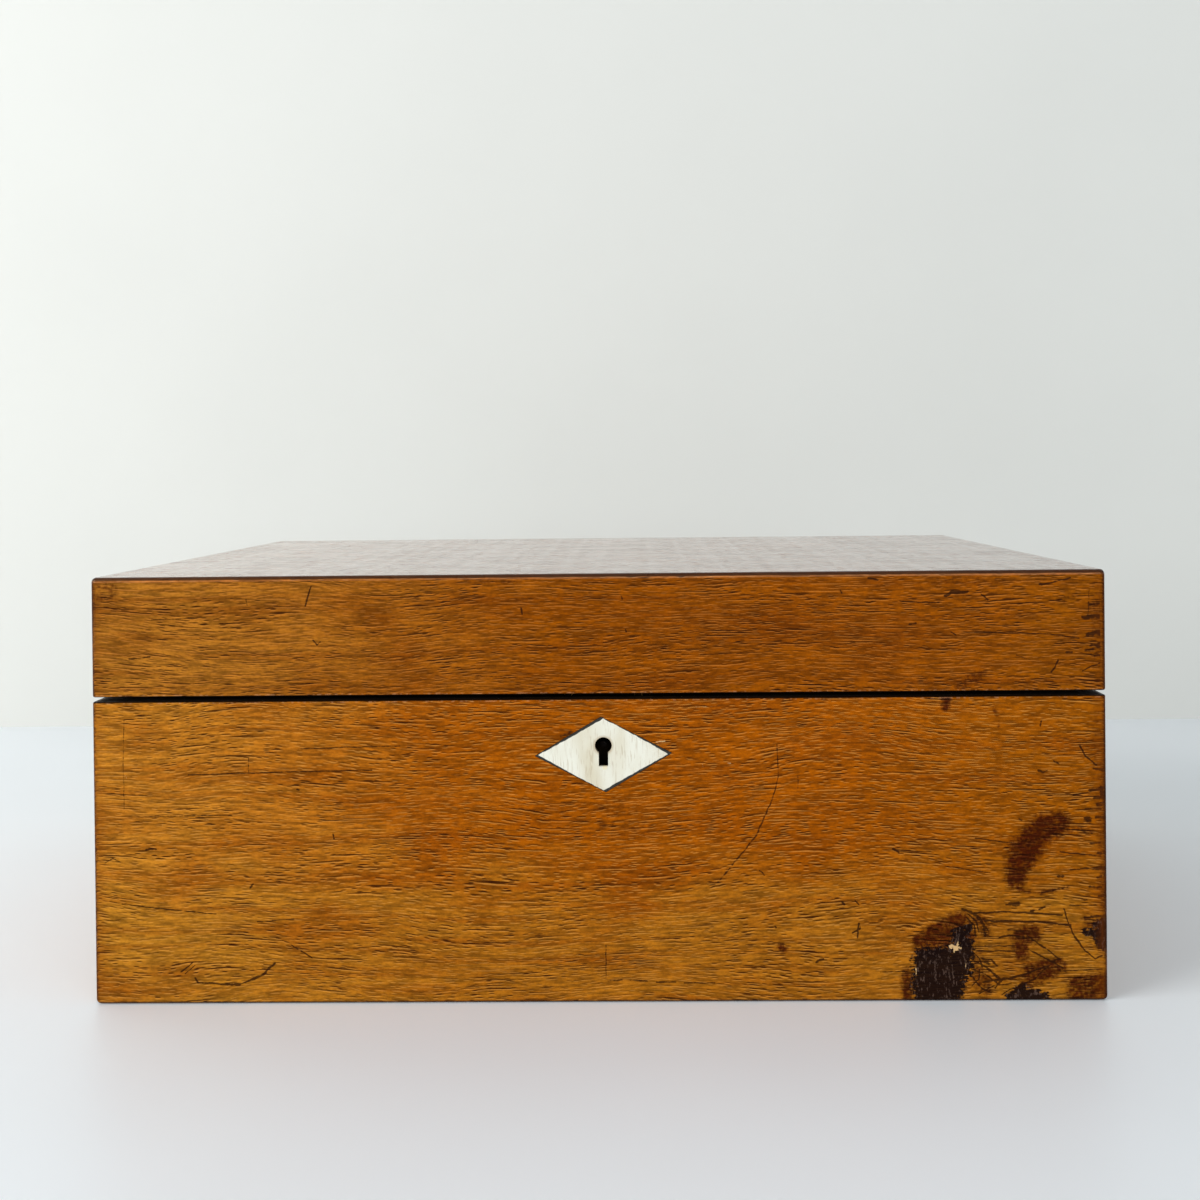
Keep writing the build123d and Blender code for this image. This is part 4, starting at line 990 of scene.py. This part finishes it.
# Metals
metalLooks = {
    "brass": {
        "name": "oldBrass", "bright": rgb(188, 156, 98), "tarnish": rgb(126, 96, 56),
        "grimeAndShade": rgb(16, 10, 6), "scratch": rgb(214, 190, 136), "rough": 0.36, "brush": (0.08, 1.8, 1.8),
    },
    "steel": {
        "name": "darkSteel", "bright": rgb(150, 148, 144), "tarnish": rgb(86, 76, 68),
        "grimeAndShade": rgb(14, 10, 8), "scratch": rgb(190, 188, 184), "rough": 0.42, "brush": (1.8, 1.8, 0.1),
    },
}


def makeMetal(look):
    material, shader, point = startMaterial(look["name"], Metallic=1.0)
    x, y, z = splitVector(point)
    cloud = noise(point, 0.22, detail=4.0, rough=0.6)
    brush = noise(point, look["brush"], detail=3.0, rough=0.6)
    specks = useGroup(speckGroup, {"Point": point, "Spacing": 3.4, "Share": 0.3})
    colour = mix(rise(cloud, 0.36, 0.66), look["bright"], look["tarnish"])
    colour = mix(rise(brush, 0.4, 0.7, 0.0, 0.35), colour, look["tarnish"])
    colour = mix(times(specks["Spot"], 0.6), colour, look["grimeAndShade"])
    colour = mix(times(specks["Scratch"], 0.4), colour, look["scratch"])
    # painted shade, nearly black, on the metal behind the keyhole and at the front of the joint
    keyhole = distance(joinVector(x, 0.0, z), (plate["x"], 0.0, 74.0))
    keyholeShade = times(rise(keyhole, 9.0, 6.0), rise(y, -100.0, -102.0))
    jointShade = times(rise(y, -104.5, -107.5), rise(z, 87.0, 88.5))
    grimeAndShade = times(calc("MAXIMUM", keyholeShade, jointShade), 0.985)
    colour = mix(grimeAndShade, colour, look["grimeAndShade"])
    rough = timesPlus(grimeAndShade, 0.3, rise(cloud, 0.3, 0.7, look["rough"] - 0.1, look["rough"] + 0.12))
    finishMaterial(shader, colour, rough, timesPlus(specks["Scratch"], -0.6, brush), (0.2, 0.05))
    return material


metals = {slot: makeMetal(look) for slot, look in metalLooks.items()}
for item in frame["record"]["subparts"]:
    if item["material_slot"] in metals:
        dress(metals[item["material_slot"]], item["node"])
print("bone and metals dressed")

# Satin, and the padded pieces that it covers
satinLook = {
    "bright": rgb(168, 44, 50), "deep": rgb(118, 20, 28), "faded": rgb(190, 92, 86), "thread": 0.34,
    "rough": 0.42, "sheen": 0.35, "sheenRough": 0.4, "shine": 0.45,
}


def makeSatin(look):
    material, shader, point = startMaterial(
        "satin", Sheen_Weight=look["sheen"], Sheen_Roughness=look["sheenRough"],
        Specular_IOR_Level=look["shine"],
    )
    x, y, z = splitVector(point)
    cloud = noise(point, 0.05, detail=3.0, rough=0.6)
    crush = noise(point, (0.16, 0.3, 0.22), detail=3.0, rough=0.65)
    colour = mix(rise(crush, 0.7, 0.3, 0.0, 0.3), look["bright"], look["deep"])
    colour = mix(rise(cloud, 0.5, 0.75, 0.0, 0.3), colour, look["faded"])
    # long warp floats tied down by a thin weft
    warp = calc("SINE", times(x, 2 * math.pi / look["thread"]))
    weft = calc("SINE", times(calc("ADD", y, z), math.pi / look["thread"]))
    slub = noise(point, (2.4, 0.16, 0.16))
    colour = mix(rise(slub, 0.58, 0.75, 0.0, 0.25), colour, look["deep"])
    rough = rise(crush, 0.3, 0.7, look["rough"] + 0.1, look["rough"] - 0.06)
    height = timesPlus(timesPlus(weft, 0.4, warp), 0.06, timesPlus(slub, 0.5, crush))
    finishMaterial(shader, colour, rough, height, (0.35, 0.5))
    return material


satin = makeSatin(satinLook)
padPlans = {
    # the solver blows each pad up from a slightly smaller block: its held side lies on wood or card
    "lidPanel": {
        "node": "lid_padded_panel", "shrink": (1.6, 1.6, 0.0), "sunk": (1.4, 0.0), "round": 2.2,
        "voxel": 2.8, "heldAbove": 118.0, "pressure": 4.0, "slack": -0.06, "cap": 3.2, "fill": 0.7,
    },
    "cellPad": {
        "node": "left_cell_pad", "shrink": (0.9, 0.9, 0.0), "sunk": (0.0, 0.9), "round": 1.6,
        "voxel": 1.6, "heldBelow": 86.7, "pressure": 4.0, "slack": -0.06, "cap": 1.8, "fill": 0.7,
    },
    "cushion": {
        "node": "pincushion", "shrink": (1.6, 1.6, 0.0), "sunk": (0.0, 5.0), "round": 7.0,
        "voxel": 2.8, "heldBelow": 60.0, "pressure": 4.0, "slack": -0.05, "cap": 7.0, "fill": 0.9,
    },
}
padRoom = {"low": (0.3, 0.3, -0.6), "high": (0.3, 0.3, -0.9)}  # how far a cover stays inside its block
clothPlan = {"quality": 6, "mass": 0.2, "frames": 20}
tufts = {  # places of the covered buttons on the panel, how deep they draw it in, and how wide
    "places": [(x, y) for x in (-108, -36, 36, 108) for y in (-67, 0, 67)]
    + [(x, y) for x in (-72, 0, 72) for y in (-33.5, 33.5)],
    "depth": 3.1, "spread": 6.5, "held": 2.6, "pleatDepth": 1.3, "pleatWidth": 1.7, "pleatLength": 50.0,
    "front": 117.0,
}
knobSeat = {"held": 3.2, "level": 89.4}


def readPoints(mesh):
    flat = np.empty(3 * len(mesh.vertices))
    mesh.vertices.foreach_get("co", flat)
    return flat.reshape(-1, 3) / mm


def writePoints(mesh, points):
    mesh.vertices.foreach_set("co", (points * mm).ravel())
    mesh.update()


def keepResult(piece):
    # what the modifiers give becomes the piece's own mesh
    view = bpy.context.evaluated_depsgraph_get()
    mesh = bpy.data.meshes.new_from_object(piece.evaluated_get(view))
    piece.modifiers.clear()
    piece.data = mesh


def blowUp(piece, plan, held):
    # holds some of the points and lets the cloth solver fill the rest
    group = piece.vertex_groups.new(name="held")
    group.add([int(i) for i in np.nonzero(held)[0]], 1.0, "REPLACE")
    cloth = piece.modifiers.new("cloth", "CLOTH")
    settings = cloth.settings
    settings.quality = clothPlan["quality"]
    settings.mass = clothPlan["mass"]
    settings.use_pressure = True
    settings.uniform_pressure_force = plan["pressure"]
    settings.shrink_min = plan["slack"]
    settings.vertex_group_mass = "held"
    settings.effector_weights.gravity = 0.0
    cloth.point_cache.frame_start = 1
    cloth.point_cache.frame_end = clothPlan["frames"]
    for frameNumber in range(1, clothPlan["frames"] + 1):
        scene.frame_set(frameNumber)
    view = bpy.context.evaluated_depsgraph_get()
    swollen = readPoints(piece.evaluated_get(view).data)
    piece.modifiers.clear()
    piece.vertex_groups.clear()
    scene.frame_set(1)
    return swollen


def onHeldSide(edge, plan):
    levels = [v.co.z / mm for v in edge.verts]
    return min(levels) > plan.get("heldAbove", 1e9) or max(levels) < plan.get("heldBelow", -1e9)


def roundBlock(name, plan, lowest, highest):
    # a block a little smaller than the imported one, rounded on its free side, in even small faces
    low, high = lowest + plan["shrink"], highest - plan["shrink"]
    low[2] += plan["sunk"][0]
    high[2] -= plan["sunk"][1]
    mesh = bpy.data.meshes.new(name)
    bm = bmesh.new()
    bmesh.ops.create_cube(bm, size=1.0)
    for v in bm.verts:
        v.co = Vector((low + high) / 2 + np.array(tuple(v.co)) * (high - low)) * mm
    free = [e for e in bm.edges if not onHeldSide(e, plan)]
    bmesh.ops.bevel(bm, geom=free, offset=plan["round"] * mm, segments=4, profile=0.5, affect="EDGES")
    bm.to_mesh(mesh)
    bm.free()
    piece = addObject(name, mesh)
    remesh = piece.modifiers.new("remesh", "REMESH")
    remesh.mode = "VOXEL"
    remesh.voxel_size = plan["voxel"] * mm
    keepResult(piece)
    return piece


def makePad(name, plan, shape, crease):
    lowest, highest = (np.array(tuple(c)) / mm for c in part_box(plan["node"]))
    piece = roundBlock(name, plan, lowest, highest)
    points, held = shape(readPoints(piece.data), plan)
    writePoints(piece.data, points)
    step = blowUp(piece, plan, held) - points
    length = np.linalg.norm(step, axis=1, keepdims=True)
    points = points + step * np.minimum(1.0, plan["cap"] / np.maximum(length, 1e-9))
    writePoints(piece.data, np.clip(points, lowest + padRoom["low"], highest - padRoom["high"]))
    finer = piece.modifiers.new("finer", "SUBSURF")
    finer.levels = finer.render_levels = 1
    keepResult(piece)
    writePoints(piece.data, crease(readPoints(piece.data)))
    piece.data.materials.clear()
    piece.data.materials.append(satin)
    for polygon in piece.data.polygons:
        polygon.use_smooth = True
    return piece


def shapePanel(points, plan):
    held = points[:, 2] > plan["heldAbove"]
    for place in tufts["places"]:
        far = np.linalg.norm(points[:, :2] - place, axis=1)
        pull = tufts["depth"] * np.exp(-((far / tufts["spread"]) ** 2))
        points[:, 2] += np.where(held, 0.0, pull)
        held |= far < tufts["held"]
    return points, held


def creasePanel(points):
    # pleats run between neighbouring buttons, slantwise
    front = points[:, 2] < tufts["front"]
    for i, first in enumerate(tufts["places"]):
        for second in tufts["places"][i + 1 :]:
            start, run = np.array(first), np.array(second) - np.array(first)
            if abs(run[0]) < 1 or np.linalg.norm(run) > tufts["pleatLength"]:
                continue
            along = np.clip((points[:, :2] - start) @ run / (run @ run), 0, 1)
            far = np.linalg.norm(points[:, :2] - start - along[:, None] * run, axis=1)
            points[:, 2] += front * tufts["pleatDepth"] * np.exp(-((far / tufts["pleatWidth"]) ** 2))
    return points


def shapeCellPad(points, plan):
    # the pad dips to the foot of its knob
    far = np.linalg.norm(points[:, :2] - (-cellX, 0.0), axis=1)
    held = points[:, 2] < plan["heldBelow"]
    seat = np.clip(1.6 - far / knobSeat["held"], 0, 1)
    points[:, 2] = np.where(held, points[:, 2], points[:, 2] + (knobSeat["level"] - points[:, 2]) * seat)
    return points, held | (far < knobSeat["held"])


def shapeCushion(points, plan):
    return points, points[:, 2] < plan["heldBelow"]


def leave(points):
    return points


def finishPad(piece, node, body):
    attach(piece, body)
    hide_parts(node)


panel = makePad("lid_panel_cover", padPlans["lidPanel"], shapePanel, creasePanel)
finishPad(panel, "lid_padded_panel", "lid")
print("lid panel padded")
leftPad = makePad("left_cell_pad_cover", padPlans["cellPad"], shapeCellPad, leave)
rightPad = addObject("right_cell_pad_cover", leftPad.data.copy())
writePoints(rightPad.data, readPoints(rightPad.data) + (2 * cellX, 0.0, 0.0))
finishPad(leftPad, "left_cell_pad", "left_cell_lid")
finishPad(rightPad, "right_cell_pad", "right_cell_lid")
cushion = makePad("pincushion_cover", padPlans["cushion"], shapeCushion, leave)
finishPad(cushion, "pincushion", "tray")
print("cell pads and pincushion padded")

# Trims that repeat or follow a path are grown by Geometry Nodes
trimLook = {"silk": rgb(196, 152, 84), "shade": rgb(120, 80, 36), "rough": 0.48, "sheen": 0.3, "shine": 0.4}
cordPlans = {
    "lid_panel_trim": {
        "middle": (0, 0), "half": (137.1, 99.6), "corner": 3.0, "level": 114.6, "radius": 1.25,
        "twist": 7.0, "step": 0.55, "body": "lid",
    },
    "pincushion_trim": {
        "middle": (0, 0), "half": (43.7, 29.7), "corner": 5.0, "level": 86.2, "radius": 1.1, "twist": 6.0,
        "step": 0.5, "body": "tray",
    },
}
for side, x in (("left", -cellX), ("right", cellX)):
    cordPlans[side + "_cell_pad_trim"] = {
        "middle": (x, 0), "half": (42.15, 30.4), "corner": 1.6, "level": 86.75, "radius": 0.72,
        "twist": 4.2, "step": 0.4, "body": side + "_cell_lid",
    }
buttonPlan = {"radius": 3.3, "thickness": 1.25, "level": 116.9}


def endNodes(tree, shape, material, out):
    smooth = addNode(tree, "GeometryNodeSetShadeSmooth", {0: shape}).outputs[0]
    real = addNode(tree, "GeometryNodeRealizeInstances", {0: smooth}).outputs[0]
    inputs = {"Geometry": real, "Material": material}
    link(addNode(tree, "GeometryNodeSetMaterial", inputs).outputs[0], out[0])


def makeCordNodes():
    # a cord of three strands twisted along the edges of the given path
    lengths = dict.fromkeys(("Radius", "Twist Length", "Step"), "Float")
    inputs = {"Geometry": "Geometry", **lengths, "Material": "Material"}
    tree, given, out = startTree("twistedTrim", "GeometryNodeTree", inputs, {"Geometry": "Geometry"})
    path = addNode(tree, "GeometryNodeMeshToCurve", {"Mesh": given["Geometry"]}).outputs[0]
    inputs = {"Curve": path, "Length": given["Step"]}
    even = addNode(tree, "GeometryNodeResampleCurve", inputs, mode="LENGTH")
    along = addNode(tree, "GeometryNodeSplineParameter").outputs["Length"]
    tilt = times(calc("DIVIDE", along, given["Twist Length"]), 2 * math.pi)
    twisted = addNode(tree, "GeometryNodeSetCurveTilt", {"Curve": even.outputs[0], "Tilt": tilt}).outputs[0]
    inputs = {"Resolution": 12, "Radius": given["Radius"]}
    ring = addNode(tree, "GeometryNodeCurvePrimitiveCircle", inputs).outputs[0]
    place = addNode(tree, "GeometryNodeInputPosition").outputs[0]
    x, y, z = splitVector(place)
    angle = times(calc("ARCTAN2", y, x), 1.5)
    lobe = timesPlus(calc("ABSOLUTE", calc("COSINE", angle)), 0.34, 0.66)
    inputs = {0: ring, "Position": move("SCALE", place, scale=lobe)}
    lobed = addNode(tree, "GeometryNodeSetPosition", inputs)
    inputs = {"Curve": twisted, "Profile Curve": lobed.outputs[0]}
    endNodes(tree, addNode(tree, "GeometryNodeCurveToMesh", inputs).outputs[0], given["Material"], out)
    return tree


def makeButtonNodes():
    # a low covered button on each point
    inputs = {"Geometry": "Geometry", "Radius": "Float", "Thickness": "Float", "Material": "Material"}
    tree, given, out = startTree("coveredButtons", "GeometryNodeTree", inputs, {"Geometry": "Geometry"})
    inputs = {"Segments": 16, "Rings": 9, "Radius": given["Radius"]}
    dome = addNode(tree, "GeometryNodeMeshUVSphere", inputs).outputs[0]
    flat = joinVector(1.0, 1.0, calc("DIVIDE", given["Thickness"], given["Radius"]))
    low = addNode(tree, "GeometryNodeTransform", {"Geometry": dome, "Scale": flat}).outputs[0]
    inputs = {"Points": given["Geometry"], "Instance": low}
    spread = addNode(tree, "GeometryNodeInstanceOnPoints", inputs).outputs[0]
    endNodes(tree, spread, given["Material"], out)
    return tree


def growPiece(name, points, edges, tree, values, body):
    # runs a tree on points and edges, and keeps the result as a plain mesh
    guide = bpy.data.meshes.new(name + "Guide")
    guide.from_pydata([Vector(p) * mm for p in points], edges, [])
    piece = addObject(name, guide)
    modifier = piece.modifiers.new("grow", "NODES")
    modifier.node_group = tree
    for item in tree.interface.items_tree:
        if item.item_type == "SOCKET" and item.in_out == "INPUT" and item.name in values:
            modifier[item.identifier] = values[item.name]
    keepResult(piece)
    piece.data.name = name
    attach(piece, body)


def roundedLoop(middle, half, corner, level):
    # a closed rectangle with round corners, as points and the edges between them
    points = []
    for turn, (sideX, sideY) in enumerate(((1, 1), (-1, 1), (-1, -1), (1, -1))):
        centre = (middle[0] + sideX * (half[0] - corner), middle[1] + sideY * (half[1] - corner))
        for step in range(7):
            angle = math.radians(90 * turn + 15 * step)
            x, y = corner * math.cos(angle), corner * math.sin(angle)
            points.append((centre[0] + x, centre[1] + y, level))
    return points, [(i, (i + 1) % len(points)) for i in range(len(points))]


def makeTrimSilk(look):
    material, shader, point = startMaterial(
        "trimSilk", Sheen_Weight=look["sheen"], Sheen_Roughness=0.4, Specular_IOR_Level=look["shine"]
    )
    cloud = noise(point, 0.2, detail=3.0, rough=0.6)
    fibre = noise(point, 3.2, rough=0.6)
    colour = mix(rise(cloud, 0.4, 0.7), look["silk"], look["shade"])
    colour = mix(rise(fibre, 0.55, 0.75, 0.0, 0.45), colour, look["shade"])
    rough = rise(cloud, 0.3, 0.7, look["rough"] - 0.08, look["rough"] + 0.1)
    finishMaterial(shader, colour, rough, fibre, (0.4, 0.1))
    return material


trimSilk = makeTrimSilk(trimLook)
cordNodes = makeCordNodes()
for name, plan in cordPlans.items():
    points, edges = roundedLoop(plan["middle"], plan["half"], plan["corner"], plan["level"])
    lengths = {"Radius": plan["radius"] * mm, "Twist Length": plan["twist"] * mm, "Step": plan["step"] * mm}
    growPiece(name, points, edges, cordNodes, {**lengths, "Material": trimSilk}, plan["body"])
buttonPoints = [(x, y, buttonPlan["level"]) for x, y in tufts["places"]]
sizes = {"Radius": buttonPlan["radius"] * mm, "Thickness": buttonPlan["thickness"] * mm}
growPiece("lid_panel_buttons", buttonPoints, [], makeButtonNodes(), {**sizes, "Material": satin}, "lid")
print("trims and buttons grown")
